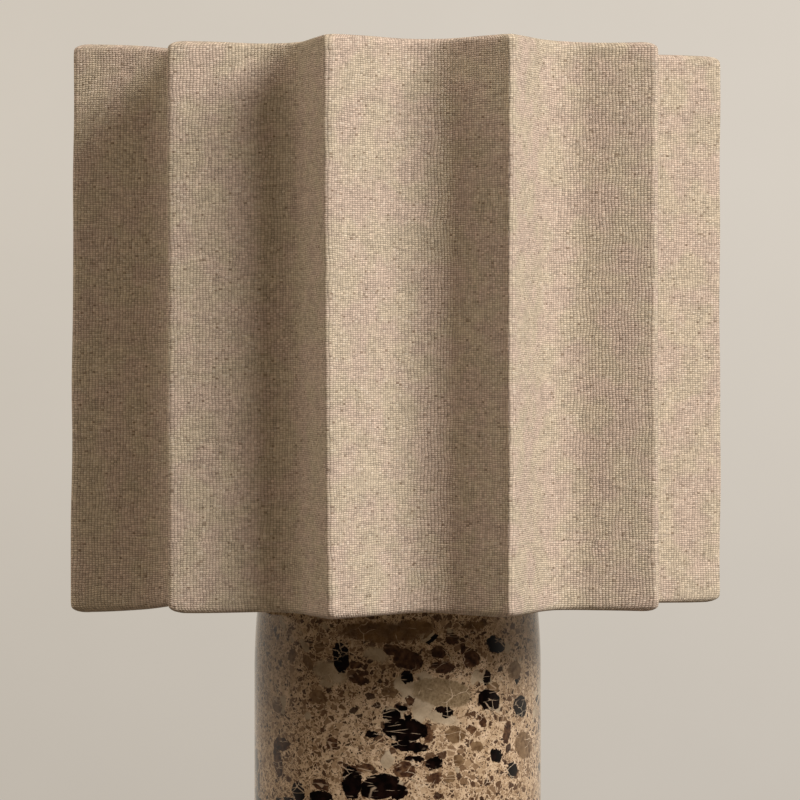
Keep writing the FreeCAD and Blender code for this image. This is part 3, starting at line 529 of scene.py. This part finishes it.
def finished(name, shape, slot, body, replaced=(), sharp_deg=SHARP_DEG):
    """A bmesh made a piece: named, finished, and riding on its body."""
    mesh = bpy.data.meshes.new(name)
    shape.to_mesh(mesh)
    shape.free()
    mesh.shade_smooth()
    mesh.set_sharp_from_angle(angle=math.radians(sharp_deg))
    mesh.materials.append(FINISHES[slot].material)
    piece = bpy.data.objects.new(name, mesh)
    bpy.context.scene.collection.objects.link(piece)
    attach(piece, body)
    if replaced:
        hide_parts(*replaced)
    return piece


def lathe(outline, steps=128):
    """A bmesh turned about the lamp's axis from a closed outline: (radius, height) points in millimetres."""
    shape = bmesh.new()
    points = [shape.verts.new((radius * MM, 0.0, height * MM)) for radius, height in outline]
    for first, second in zip(points, points[1:] + points[:1]):
        shape.edges.new((first, second))
    bmesh.ops.spin(shape, geom=shape.verts[:] + shape.edges[:], cent=(0, 0, 0), axis=(0, 0, 1),
                   dvec=(0, 0, 0), angle=2.0 * math.pi, steps=steps, use_merge=True, use_duplicate=False)
    bmesh.ops.remove_doubles(shape, verts=shape.verts, dist=1e-6)
    bmesh.ops.recalc_face_normals(shape, faces=shape.faces)
    return shape


def applied(piece):
    """A piece's mesh with its modifiers or its curve's bevel worked in."""
    return bpy.data.meshes.new_from_object(piece.evaluated_get(bpy.context.evaluated_depsgraph_get()))


def arc(centre, radius, start_deg, end_deg, steps=8):
    """Points of an arc in an outline."""
    turns = [math.radians(start_deg + (end_deg - start_deg) * i / steps) for i in range(steps + 1)]
    return [(centre[0] + radius * math.cos(turn), centre[1] + radius * math.sin(turn)) for turn in turns]


# ---------------------------------------------------------------- sizes that the shade's parts share
SHADE_RADIUS = 150.0
SHADE_BOTTOM = 291.0
SHADE_TOP = 534.0
FLUTES = 12
FLUTE_DEPTH = 25.0
VALLEY_RADIUS = 22.0
FIRST_RIDGE_DEG = -100.0
HALF_PITCH = math.pi / FLUTES
HALF_CHORD = SHADE_RADIUS * math.sin(HALF_PITCH)
VALLEY_REACH = SHADE_RADIUS * math.cos(HALF_PITCH) - FLUTE_DEPTH
LEAN = math.atan2(VALLEY_RADIUS - FLUTE_DEPTH, HALF_CHORD)
WALL_ANGLE = math.asin(VALLEY_RADIUS / math.hypot(HALF_CHORD, VALLEY_RADIUS - FLUTE_DEPTH)) - LEAN
RIDGE_HALF_ANGLE = 0.5 * math.pi - HALF_PITCH - WALL_ANGLE
ALONG_FLUTE, WALL_ROWS = 40, 26       # faces along one flute, and up the wall
SEAM_TURN = (6 + 0.2) / FLUTES        # where the linen's ends meet, on a wall at the back
SEAM_SPAN = 0.0089                    # the overlap there, 10 mm, as a share of the whole turn
SEAM_CLOTH = 0.4                      # where the overlap lies on its own cloth, in metres
FLUTE_CLOTH = 0.0938                  # the linen that goes into one flute, in metres
VALLEY_END, WALL_END = 0.2, 0.4       # shares of a flute, from its middle
LINEN = 0.9                           # the linen's thickness
HEM_DEPTH = 22.0                      # how far from a rim its closer rows go
LINEN_CORNER = 2.3                    # how round its ridges are outside
CLOTH_CORNER = 1.8                    # and where the cloth's own length is measured
WIRE_INSET, WIRE_RADIUS = 2.9, 1.5
WIRE_CORNER = 5.9                     # a wire's bend in a ridge, measured from the linen's outside
LOWER_WIRE, UPPER_WIRE = SHADE_BOTTOM + 2.4, SHADE_TOP - 2.4

# Handwork: by ridge, how far out and how far round it stands at its foot, middle and top, and how far its
# lower and upper ends reach past the rims.
RIDGES = (
    ((0.9, 1.1, 0.9), (-2.4, -3.5, -4.2), (-1.2, 0.6)),
    ((0.3, 0.0, 0.2), (-3.9, -3.6, -3.4), (-0.9, 0.6)),
    ((-1.4, -1.6, -1.5), (-1.7, -2.3, -2.4), (-0.8, 0.4)),
    ((-1.8, -2.0, -1.7), (0.4, 0.0, -0.5), (-1.2, -0.2)),
    ((0.4, 0.6, 0.3), (1.2, 0.4, -0.6), (-0.6, 0.9)),
    ((-0.6, -0.3, 0.2), (-0.9, 0.2, 1.1), (-1.6, 0.2)),
    ((0.5, -0.2, -0.6), (0.8, 1.0, 0.4), (-0.4, 1.4)),
    ((0.0, 0.4, 0.7), (-1.0, -0.6, 0.5), (-1.9, 0.5)),
    ((0.9, 0.5, 0.2), (0.2, -0.7, -1.2), (-0.9, 1.1)),
    ((0.6, 0.9, 1.0), (-0.8, -1.0, 0.3), (-2.4, 1.8)),
    ((4.2, 3.6, 3.1), (-1.8, -1.6, -1.4), (-4.6, 3.4)),
    ((1.0, 1.0, 1.0), (-1.2, -1.5, -1.7), (-1.1, 0.7)),
)
# By place round the rims, in flutes from the first ridge: how wide, and how far the two rims stray there.
RIM_WAVES = (
    (1.38, 0.22, 0.0, 0.8), (1.6, 0.5, -0.4, 0.3), (2.5, 0.3, -0.3, -0.4), (5.4, 0.4, -0.6, -0.7),
    (7.5, 0.5, 0.5, -0.6), (10.72, 0.28, 1.6, -2.0), (11.5, 0.45, -0.5, -1.1),
)


def flute_point(share, inset, corner):
    """A point of the fluted outline: `share` runs from -0.5 to 0.5 across a flute."""
    side = 1.0 if share > 0.0 else -1.0
    share = abs(share)
    curve = VALLEY_RADIUS + inset
    sharp = SHADE_RADIUS - inset / math.sin(RIDGE_HALF_ANGLE)
    reach = sharp - corner / math.sin(RIDGE_HALF_ANGLE)
    if share <= VALLEY_END:
        turn = WALL_ANGLE * share / VALLEY_END
        return side * curve * math.sin(turn), VALLEY_REACH + VALLEY_RADIUS - curve * math.cos(turn)
    part = 1.0 - (share - WALL_END) / (0.5 - WALL_END) if share > WALL_END else 1.0
    turn = part * (0.5 * math.pi - RIDGE_HALF_ANGLE)
    along = reach + corner * math.cos(turn)
    aside = corner * math.sin(turn)
    across = along * math.sin(HALF_PITCH) - aside * math.cos(HALF_PITCH)
    out = along * math.cos(HALF_PITCH) + aside * math.sin(HALF_PITCH)
    if share < WALL_END:
        foot_across = curve * math.sin(WALL_ANGLE)
        foot_out = VALLEY_REACH + VALLEY_RADIUS - curve * math.cos(WALL_ANGLE)
        part = (share - VALLEY_END) / (WALL_END - VALLEY_END)
        across = foot_across + (across - foot_across) * part
        out = foot_out + (out - foot_out) * part
    return side * across, out


def eased(share):
    share = min(1.0, max(0.0, share))
    return share * share * (3.0 - 2.0 * share)


def bowed(ends, up):
    """A smooth curve through three values: at the foot, the middle and the top."""
    low, middle, high = ends
    return low * (1 - up) * (1 - 2 * up) + 4 * middle * up * (1 - up) + high * up * (2 * up - 1)


def skin_point(turn, inset, height, corner):
    """A point of the shade's skin, in metres, with the unevenness of handwork in it."""
    turn = turn % 1.0
    flute = int(turn * FLUTES)
    share = turn * FLUTES - flute - 0.5
    across, out = flute_point(share, inset, corner)
    heading = math.radians(FIRST_RIDGE_DEG) + HALF_PITCH * (2 * flute + 1)
    up = (height - SHADE_BOTTOM) / (SHADE_TOP - SHADE_BOTTOM)

    pushed, slid, reach = RIDGES[(flute + (1 if share > 0.0 else 0)) % FLUTES]
    nearness = eased((abs(share) - 0.12) / 0.38)
    end_gap = min(height - SHADE_BOTTOM, SHADE_TOP - height)
    push = bowed(pushed, up) - 1.6 * max(0.0, 1.0 - end_gap / 4.0) ** 2
    slide = bowed(slid, up)
    spot = Vector((math.cos(2 * math.pi * turn) * 3.1, math.sin(2 * math.pi * turn) * 3.1, height / 62.0))
    push += 0.55 * noise.noise(spot * 1.7)
    slide += 0.50 * noise.noise(spot + Vector((9.0, 4.0, 2.0)))
    ahead = heading + (HALF_PITCH if share > 0.0 else -HALF_PITCH)
    x = out * math.cos(heading) - across * math.sin(heading)
    y = out * math.sin(heading) + across * math.cos(heading)
    x += nearness * (push * math.cos(ahead) - slide * math.sin(ahead))
    y += nearness * (push * math.sin(ahead) + slide * math.cos(ahead))

    low, high = (end * math.exp(-((0.5 - abs(share)) / 0.4) ** 2) for end in reach)
    for place, width, lower, upper in RIM_WAVES:
        apart = (turn * FLUTES - place + 0.5 * FLUTES) % FLUTES - 0.5 * FLUTES
        low += lower * math.exp(-(apart / width) ** 2)
        high += upper * math.exp(-(apart / width) ** 2)
    lift = low * eased(1.0 - up * 6.0) + high * eased(1.0 - (1.0 - up) * 6.0)
    rim = max(eased(1.0 - up * 8.0), eased(1.0 - (1.0 - up) * 8.0))
    lift += 0.35 * rim * noise.noise(spot * 2.3 + Vector((1.0, 7.0, 5.0)))
    return x * MM, y * MM, (height + lift) * MM


def laid_grid(section, start, span, columns, cloth_place):
    """A bmesh that takes a closed section of (inset, height, corner) points along a span of the flutes."""
    shape = bmesh.new()
    cloth = shape.loops.layers.uv.new("cloth")
    rows = len(section)
    bmesh.ops.create_grid(shape, x_segments=columns, y_segments=rows, size=0.5)
    cell = {v: (round((v.co.x + 0.5) * columns), round((v.co.y + 0.5) * rows)) for v in shape.verts}
    for face in shape.faces:
        for loop in face.loops:
            loop[cloth].uv = cloth_place(*cell[loop.vert])
    for vert, (column, row) in cell.items():
        vert.co = skin_point(start + span * column / columns, *section[row % rows])
    bmesh.ops.remove_doubles(shape, verts=shape.verts, dist=1e-7)
    return shape


def fluted_skin(section, columns=ALONG_FLUTE * FLUTES):
    """A closed skin round all the flutes, with the cloth measured along its middle and up its section."""
    middle = 0.5 * (SHADE_BOTTOM + SHADE_TOP)
    along, up = [0.0], [0.0]
    for i in range(columns):
        first, second = (Vector(skin_point(SEAM_TURN + j / columns, 0.0, middle, CLOTH_CORNER))
                         for j in (i, i + 1))
        along.append(along[-1] + (second - first).length)
    for first, second in zip(section, section[1:] + section[:1]):
        up.append(up[-1] + math.dist(first[:2], second[:2]) * MM)

    shape = laid_grid(section, SEAM_TURN, 1.0, columns, lambda column, row: (along[column], up[row]))
    bmesh.ops.recalc_face_normals(shape, faces=shape.faces)
    return shape


def fluted_strip(section, start, span, columns):
    """A strip along part of the flutes, its ends closed, with cloth of its own."""
    def cloth_place(column, row):
        length = FLUTE_CLOTH * FLUTES * span * column / columns
        return SEAM_CLOTH + length, section[row % len(section)][1] * MM

    shape = laid_grid(section, start, span, columns, cloth_place)
    bmesh.ops.holes_fill(shape, edges=[edge for edge in shape.edges if edge.is_boundary])
    bmesh.ops.recalc_face_normals(shape, faces=shape.faces)
    return shape


def hem(rim, way):
    """Half the linen's section: over one rim, round the wire, and down to the flap's raw edge and back."""
    def corner(inset):
        return max(0.35, min(LINEN_CORNER + 0.3 * inset, WIRE_CORNER - inset))

    def roll(width, depth, turns):
        """The linen's bend over the wire, outside or inside."""
        return [(2.7 - width * math.cos(math.radians(turn)), 2.5 - depth * math.sin(math.radians(turn)))
                for turn in turns]

    path = [(0.0, depth) for depth in (HEM_DEPTH, 16.0, 11.0, 7.0, 4.5)]
    path += roll(2.7, 2.5, range(0, 181, 18))
    path += [(5.3, 4.2), (4.3, 6.0), (3.0, 7.4), (2.4, 9.0), (2.35, 12.0), (1.45, 12.0), (1.5, 8.8),
             (2.2, 6.8), (3.6, 5.2), (4.4, 3.9)]
    path += roll(1.8, 1.6, range(180, -1, -30))
    points = [(inset, rim - way * depth, corner(inset)) for inset, depth in path]
    return points + [(LINEN, rim - way * depth, LINEN) for depth in (4.5, 8.0, 14.0, HEM_DEPTH)]


def levels(margin):
    """Even heights up the shade, from a margin above its foot to the same below its top."""
    low, high = SHADE_BOTTOM + margin, SHADE_TOP - margin
    return [low + (high - low) * i / WALL_ROWS for i in range(WALL_ROWS + 1)]


wall = levels(HEM_DEPTH)[1:-1]
cover_section = [(0.0, height, LINEN_CORNER) for height in wall]
cover_section += hem(SHADE_TOP, 1)
cover_section += [(LINEN, height, LINEN) for height in reversed(wall)]
cover_section += list(reversed(hem(SHADE_BOTTOM, -1)))
shade_linen = finished("shade_linen", fluted_skin(cover_section), "linen", "shade", ["linen_cover"], 50.0)

lining_rows = levels(3.0)
lining_section = [(0.95, height, 0.85) for height in lining_rows]
lining_section += [(1.4, height, 0.4) for height in reversed(lining_rows)]
finished("shade_lining", fluted_skin(lining_section), "liner", "shade", ["shade_liner"], 50.0)

for name, node_name, centre in (("lower_wire", "shade_lower_wire", LOWER_WIRE),
                                ("upper_wire", "shade_upper_wire", UPPER_WIRE)):
    bead = [(inset, height, WIRE_CORNER - inset)
            for inset, height in arc((WIRE_INSET, centre), WIRE_RADIUS, 0.0, 330.0, 11)]
    finished(name, fluted_skin(bead), "white_wire", "shade", [node_name], 50.0)

# the linen's outer end lies over its inner end, glued down, and its edges are pressed flat
seam_rows = levels(1.4)
seam_section = [(-0.2, seam_rows[0], CLOTH_CORNER)]
seam_section += [(-0.62, height, CLOTH_CORNER) for height in seam_rows[1:-1]]
seam_section += [(-0.2, seam_rows[-1], CLOTH_CORNER)]
seam_section += [(0.1, height, CLOTH_CORNER) for height in reversed(seam_rows)]
linen_seam = finished("linen_seam", fluted_strip(seam_section, SEAM_TURN, SEAM_SPAN, 8), "linen", "shade")

# ---------------------------------------------------------------- the shade's fitting
WIRE_REACH = VALLEY_REACH - WIRE_INSET
SHADE_SEAT = 346.8

FITTING_MIDDLE, FITTING_TOP = SHADE_SEAT + 0.75, SHADE_SEAT + 1.5
fitting_outline = [(29.4, FITTING_TOP)] + arc((29.4, FITTING_MIDDLE), 0.75, 80.0, -80.0, 6)
fitting_outline += [(29.4, SHADE_SEAT), (20.9, SHADE_SEAT)]
fitting_outline += arc((20.9, FITTING_MIDDLE), 0.7, 260.0, 100.0, 6) + [(20.9, FITTING_TOP)]
finished("fitting_ring", lathe(fitting_outline), "white_wire", "shade", ["spider_ring"])

arm_lines = bpy.data.curves.new("fitting_arms_line", "CURVE")
arm_lines.dimensions = "3D"
arm_lines.bevel_depth = 2.0 * MM
arm_lines.bevel_resolution = 5
arm_lines.resolution_u = 10
arm_lines.use_fill_caps = True
ARM_TURNS = [math.radians(FIRST_RIDGE_DEG) + HALF_PITCH * (2 * flute + 1) for flute in (6, 10, 14)]
ARM_ROUTE = ((24.5, 344.8), (34.0, 344.8), (44.5, 344.8), (62.0, 332.4), (91.5, 306.0), (109.0, LOWER_WIRE),
             (113.0, LOWER_WIRE), (WIRE_REACH, LOWER_WIRE))
for turn in ARM_TURNS:
    spline = arm_lines.splines.new("NURBS")
    spline.points.add(len(ARM_ROUTE) - 1)
    for point, (reach, height) in zip(spline.points, ARM_ROUTE):
        point.co = (reach * math.cos(turn) * MM, reach * math.sin(turn) * MM, height * MM, 1.0)
    spline.order_u = 3
    spline.use_endpoint_u = True
arm_rods = bpy.data.objects.new("fitting_arms_line", arm_lines)
bpy.context.scene.collection.objects.link(arm_rods)
arm_shape = bmesh.new()
arm_shape.from_mesh(applied(arm_rods))
bpy.data.objects.remove(arm_rods)
bmesh.ops.remove_doubles(arm_shape, verts=arm_shape.verts, dist=1e-6)
for turn in ARM_TURNS:
    # the weld under the ring
    weld = bmesh.ops.create_icosphere(arm_shape, subdivisions=3, radius=2.5 * MM)["verts"]
    bmesh.ops.scale(arm_shape, vec=(1.0, 1.0, 0.55), verts=weld)
    bmesh.ops.translate(arm_shape, verts=weld,
                        vec=(26.2 * math.cos(turn) * MM, 26.2 * math.sin(turn) * MM, 345.9 * MM))
bmesh.ops.recalc_face_normals(arm_shape, faces=arm_shape.faces)
finished("fitting_arms", arm_shape, "white_wire", "shade", ["spider_arms"])

# ---------------------------------------------------------------- lamp holder
BELL_FOOT, BELL_FLARE, BELL_RIM = 302.8, 311.3, 336.8
bell_outline = [(5.02, BELL_FOOT), (7.9, BELL_FOOT), (8.5, BELL_FOOT + 0.6), (8.5, BELL_FLARE - 1.2)]
bell_outline += [(8.5 + 9.75 * math.sin(math.radians(10.0 * i)) ** 1.25, BELL_FLARE + 9.5 * (i / 9) ** 1.1)
                 for i in range(1, 10)]
bell_outline += [(18.25, 322.5), (18.25, 325.2), (17.85, 325.5), (17.85, 326.3), (18.25, 326.6),
                 (18.25, BELL_RIM), (16.65, BELL_RIM), (16.65, 322.0), (14.2, 318.4), (8.0, 312.8),
                 (5.02, 311.8)]
finished("holder_bell", lathe(bell_outline), "holder_plastic", "base", ["holder_cap"])

SLEEVE_RADIUS, SLEEVE_TOP = 19.75, 370.8
THREAD_FOOT, THREAD_PITCH, THREAD_TURNS = 347.8, 2.5, 8
sleeve_outline = [(18.3, 330.8), (19.25, 330.8), (SLEEVE_RADIUS, 331.3)]
for groove in (333.6, 336.0, 338.4):
    sleeve_outline += [(SLEEVE_RADIUS, groove - 0.5), (19.3, groove - 0.2), (19.3, groove + 0.2),
                       (SLEEVE_RADIUS, groove + 0.5)]
sleeve_outline += [(SLEEVE_RADIUS, 343.2), (20.2, 343.8), (23.0, 343.8), (23.5, 344.3), (23.5, 346.5),
                   (23.2, SHADE_SEAT), (20.1, SHADE_SEAT), (SLEEVE_RADIUS, 347.1),
                   (SLEEVE_RADIUS, THREAD_FOOT)]
sleeve_outline += [(19.5 + 0.25 * math.cos(math.radians(45.0 * i)), THREAD_FOOT + THREAD_PITCH * i / 8)
                   for i in range(1, 8 * THREAD_TURNS + 1)]
sleeve_outline += [(SLEEVE_RADIUS, SLEEVE_TOP - 0.8), (19.15, SLEEVE_TOP), (16.75, SLEEVE_TOP),
                   (16.75, BELL_RIM), (18.3, BELL_RIM)]
finished("holder_sleeve", lathe(sleeve_outline), "holder_plastic", "base", ["holder_skirt"])

RING_FOOT, RING_TOP, RIBS = 348.35, 357.35, 24
RING_BORE, RING_GRIP = 19.83, 22.6
ring_outline = [(RING_BORE, RING_FOOT), (24.6, RING_FOOT), (25.0, RING_FOOT + 0.4), (25.0, RING_FOOT + 1.5),
                (24.5, RING_FOOT + 2.0), (22.9, RING_FOOT + 2.0), (RING_GRIP, RING_FOOT + 2.3),
                (RING_GRIP, RING_FOOT + 4.0), (RING_GRIP, RING_TOP - 2.6), (RING_GRIP, RING_TOP - 1.0),
                (22.3, RING_TOP - 0.3), (21.9, RING_TOP), (20.4, RING_TOP), (RING_BORE, RING_TOP - 0.5)]
ring_shape = lathe(ring_outline, steps=RIBS * 14)
for vert in ring_shape.verts:
    reach = math.hypot(vert.co.x, vert.co.y)
    height = vert.co.z / MM
    if reach > (RING_GRIP - 0.1) * MM and RING_FOOT + 2.2 < height < RING_TOP - 0.9:
        rib = max(0.0, math.cos(RIBS * math.atan2(vert.co.y, vert.co.x))) ** 4
        vert.co.xy *= 1.0 + 0.7 * MM * rib / reach
finished("shade_clamp", ring_shape, "holder_plastic", "clamp_ring", ["shade_ring"])

# ---------------------------------------------------------------- bulb
CAP_FOOT, CAP_TOP, CAP_ROOT = 354.8, 373.3, 12.1
CAP_PITCH, CAP_ROWS = 3.63, 62
cap_rows = [CAP_FOOT + (CAP_TOP - CAP_FOOT) * i / CAP_ROWS for i in range(CAP_ROWS + 1)]
cap_outline = [(CAP_ROOT - 0.8 * (1.0 - eased((height - CAP_FOOT) / 0.8)), height) for height in cap_rows]
cap_outline += [(radius - 0.4, height) for radius, height in reversed(cap_outline)]
cap_shape = lathe(cap_outline, steps=96)
for vert in cap_shape.verts:
    # a rounded screw thread that winds up the cap and fades out at both ends
    reach = math.hypot(vert.co.x, vert.co.y)
    height = vert.co.z / MM
    turns = (height - CAP_FOOT) / CAP_PITCH - math.atan2(vert.co.y, vert.co.x) / (2.0 * math.pi)
    crest = max(0.0, math.cos(2.0 * math.pi * turns) * 0.62 + 0.38) ** 0.8
    fade = eased((height - CAP_FOOT - 0.6) / 1.8) * eased((CAP_TOP - 1.6 - height) / 1.6)
    vert.co.xy *= 1.0 + crest * fade * MM / reach
finished("bulb_screw", cap_shape, "bulb_metal", "bulb", ["bulb_cap"])

HOUSING_FOOT, BODY_TOP = 363.4, 406.3
GLOBE_CENTRE, GLOBE_RADIUS, GLOBE_WALL = 426.3, 30.0, 1.0
housing_outline = [(11.6, HOUSING_FOOT), (11.6, CAP_TOP), (13.4, CAP_TOP), (14.0, CAP_TOP + 0.6)]
housing_outline += [(14.0 + 8.3 * (i / 12) ** 1.15, CAP_TOP + 0.6 + (BODY_TOP - CAP_TOP - 1.2) * i / 12)
                    for i in range(1, 13)]
housing_outline += [(22.0, BODY_TOP), (20.8, BODY_TOP), (20.4, BODY_TOP - 3.0), (16.0, 390.0),
                    (12.5, CAP_TOP + 1.5), (10.1, CAP_TOP), (10.1, HOUSING_FOOT)]
finished("bulb_housing", lathe(housing_outline), "bulb_white", "bulb", ["bulb_body"])

INNER_RADIUS = GLOBE_RADIUS - GLOBE_WALL
globe_mouth = math.degrees(math.asin((BODY_TOP - GLOBE_CENTRE) / GLOBE_RADIUS))
inner_mouth = math.degrees(math.asin((BODY_TOP - GLOBE_CENTRE) / INNER_RADIUS))
globe_outline = arc((0.0, GLOBE_CENTRE), GLOBE_RADIUS, globe_mouth, 90.0, 40)
globe_outline += arc((0.0, GLOBE_CENTRE), INNER_RADIUS, 90.0, inner_mouth, 30)
finished("bulb_dome", lathe([(max(0.0, radius), height) for radius, height in globe_outline]), "opal", "bulb",
         ["bulb_globe"])

# ---------------------------------------------------------------- stone column
COLUMN_FOOT, COLUMN_TOP = 3.0, 290.0
SHOULDER_INSET, SHOULDER_ROUND = 1.2, 6.0
RECESS_RADIUS, RECESS_TOP, COVER_SEAT = 40.0, 31.0, 5.0
INLET_HEIGHT = 20.0
SEAT_REACH, SEAT_TOP = 47.0, 17.0      # of the three holes for the cover's inserts
column_outline = [(RECESS_RADIUS, COVER_SEAT), (54.4, COVER_SEAT), (54.4, COLUMN_FOOT),
                  (COLUMN_RADIUS - 1.5, COLUMN_FOOT), (COLUMN_RADIUS, COLUMN_FOOT + 1.5)]
column_outline += [(COLUMN_RADIUS, height) for height in (12.0, 28.0, 100.0, 180.0)]
column_outline += [(COLUMN_RADIUS - SHOULDER_INSET * (i / 6) ** 2, 257.0 + 27.0 * i / 6) for i in range(7)]
column_outline += arc((COLUMN_RADIUS - SHOULDER_INSET - SHOULDER_ROUND, COLUMN_TOP - SHOULDER_ROUND),
                      SHOULDER_ROUND, 0.0, 90.0)[1:]
column_outline += [(30.0, COLUMN_TOP), (6.5, COLUMN_TOP), (6.5, RECESS_TOP), (RECESS_RADIUS, RECESS_TOP)]
column_stone = finished("column_stone", lathe(column_outline, steps=256), "stone", "base", ["marble_column"])


def drilled(piece, holes):
    """Cuts round holes in a piece: (radius, start, end) in millimetres."""
    cutter_shape = bmesh.new()
    for radius, start, end in holes:
        way = Vector(end) - Vector(start)
        turn = way.to_track_quat("Z", "Y").to_matrix().to_4x4()
        turn.translation = (Vector(start) + 0.5 * way) * MM
        bmesh.ops.create_cone(cutter_shape, cap_ends=True, segments=64, radius1=radius * MM,
                              radius2=radius * MM, depth=way.length * MM, matrix=turn)
    cutter_mesh = bpy.data.meshes.new("cutter")
    cutter_shape.to_mesh(cutter_mesh)
    cutter_shape.free()
    cutter = bpy.data.objects.new("cutter", cutter_mesh)
    bpy.context.scene.collection.objects.link(cutter)
    cut = piece.modifiers.new("cut", "BOOLEAN")
    cut.operation, cut.solver, cut.object = "DIFFERENCE", "EXACT", cutter
    bpy.context.view_layer.update()
    cut_mesh = applied(piece)
    piece.modifiers.clear()
    piece.data = cut_mesh
    cut_mesh.shade_smooth()
    cut_mesh.set_sharp_from_angle(angle=math.radians(SHARP_DEG))
    bpy.data.objects.remove(cutter)


inlet = (5.5, (0.0, 30.0, INLET_HEIGHT), (0.0, 80.0, INLET_HEIGHT))
seats = [(SEAT_REACH * math.cos(turn), SEAT_REACH * math.sin(turn))
         for turn in (math.radians(150.0 + 120.0 * i) for i in range(3))]
drilled(column_stone, [inlet] + [(3.5, (x, y, 0.0), (x, y, SEAT_TOP)) for x, y in seats])

pad_outline = [(0.0, 0.0), (60.8, 0.0)] + arc((60.8, 1.5), 1.2, -70.0, 70.0, 8) + [(60.8, 3.0), (0.0, 3.0)]
finished("felt_pad", lathe(pad_outline, steps=160), "felt", "base", ["base_pad"])

bush_outline = [(3.4, 45.0), (3.9, 44.5), (5.0, 44.5), (5.4, 45.0), (5.4, 64.4), (7.9, 64.4), (8.0, 65.6)]
bush_outline += arc((6.4, 65.9), 1.6, 0.0, 90.0, 6) + [(4.6, 67.5)] + arc((4.6, 66.3), 1.2, 90.0, 180.0, 6)
bush_shape = lathe(bush_outline, steps=96)
bmesh.ops.rotate(bush_shape, cent=(0, 0, 0), verts=bush_shape.verts,
                 matrix=Matrix.Rotation(math.radians(-90.0), 3, "X"))
bmesh.ops.translate(bush_shape, vec=(0, 0, INLET_HEIGHT * MM), verts=bush_shape.verts)
finished("inlet_bush", bush_shape, "bush_nylon", "base", ["cord_bush"])

# ---------------------------------------------------------------- floor, light and camera
PALE_WALL = (0.615, 0.548, 0.462)
DARK_ROOM = (0.045, 0.041, 0.036)
FLOOR_RADIUS = 1.15                    # metres


def pale_floor():
    """A pale round floor that fades out at its edge, where no photograph would show it."""
    f = Finish("floor")
    parts = f.node("SeparateXYZ", Vector=f.place)
    reach = maths("SQRT", parts["X"] * parts["X"] + parts["Y"] * parts["Y"])
    cloud = f.grain(90.0, detail=3.0)
    path = f.node("LightPath")
    plain = f.shaded((0.40, 0.375, 0.335), 0.97 + 0.06 * cloud)
    colour = f.mixed(path["Is Diffuse Ray"], plain, (0.18, 0.16, 0.14))
    return f.surface(Base_Color=colour, Roughness=0.9, Alpha=1.0 - rising(reach, 620.0, 1120.0))


floor_shape = bmesh.new()
bmesh.ops.create_circle(floor_shape, cap_ends=True, segments=128, radius=FLOOR_RADIUS)
floor_mesh = bpy.data.meshes.new("floor")
floor_shape.to_mesh(floor_mesh)
floor_shape.free()
floor_mesh.materials.append(pale_floor().material)
floor = bpy.data.objects.new("floor", floor_mesh)
bpy.context.scene.collection.objects.link(floor)


def soft_lamp(name, azimuth_deg, elevation_deg, distance, width, height, power, colour, aim=(0.0, 0.0, 0.37)):
    """A soft box. Azimuth turns from the front, -Y, towards the right, +X."""
    azimuth, elevation = math.radians(azimuth_deg), math.radians(elevation_deg)
    way = Vector((math.sin(azimuth) * math.cos(elevation), -math.cos(azimuth) * math.cos(elevation),
                  math.sin(elevation)))
    light = bpy.data.lights.new(name, "AREA")
    light.shape = "RECTANGLE"
    light.size, light.size_y = width, height
    light.energy = power
    light.color = colour
    lamp = bpy.data.objects.new(name, light)
    lamp.location = Vector(aim) + way * distance
    lamp.rotation_euler = (-way).to_track_quat("-Z", "Y").to_euler()
    bpy.context.scene.collection.objects.link(lamp)


soft_lamp("window", azimuth_deg=52.0, elevation_deg=29.0, distance=3.0, width=2.0, height=1.0,
          power=128.0, colour=(1.0, 0.985, 0.96))
soft_lamp("reflector", azimuth_deg=-80.0, elevation_deg=36.0, distance=1.8, width=0.85, height=0.6,
          power=10.5, colour=(1.0, 0.93, 0.82), aim=(0.0, 0.0, 0.42))

world = bpy.data.worlds.new("room")
bpy.context.scene.world = world
world.use_nodes = True
world.node_tree.nodes.clear()
room = Pattern(world.node_tree)
looking = room.node("TexCoord")["Generated"]
way = room.node("SeparateXYZ", Vector=looking)
# the backdrop wall that the camera sees: a faint plaster mottle, with painted light that makes it lighter
# towards the right and darker towards the bottom
plaster = room.node("TexNoise", Vector=looking, Scale=26.0, Detail=5.0, Roughness=0.6)
across_wall = clamped(0.5 + 4.0 * way["X"])
down_wall = clamped(0.25 - 5.5 * way["Z"])
wall_colour = room.mixed(across_wall, (0.592, 0.536, 0.462), (0.660, 0.604, 0.532))
wall_colour = room.shaded(wall_colour, (1.05 - 0.20 * down_wall) * (0.975 + 0.05 * plaster))
behind = rising(way["Y"], -0.35, 0.35)
mirrored = room.mixed(behind, DARK_ROOM, PALE_WALL)
ambient = room.mixed(behind, (0.104, 0.079, 0.050), (0.26, 0.222, 0.180))
ambient = room.mixed(rising(way["Z"], 0.0, 0.7), ambient, (0.36, 0.305, 0.245), "ADD")
path = room.node("LightPath")
seen = maths("MAXIMUM", path["Is Camera Ray"], path["Is Transmission Ray"])
colour = room.mixed(seen, room.mixed(path["Is Glossy Ray"], ambient, mirrored), wall_colour)
background = room.node("Background", Color=colour, Strength=1.0)
output = room.tree.nodes.new("ShaderNodeOutputWorld")
feed(output.inputs["Surface"], background)

camera_data = bpy.data.cameras.new("camera")
camera_data.sensor_width = 36.0
camera_data.lens = 176.2
camera_data.shift_x = 0.0030
camera_data.shift_y = -0.0508
camera = bpy.data.objects.new("camera", camera_data)
camera.location = (0.0, -1.777, 0.3982)
camera.rotation_euler = (math.radians(90.0), 0.0, 0.0)
bpy.context.scene.collection.objects.link(camera)
bpy.context.scene.camera = camera
bpy.context.scene.view_settings.view_transform = "Standard"
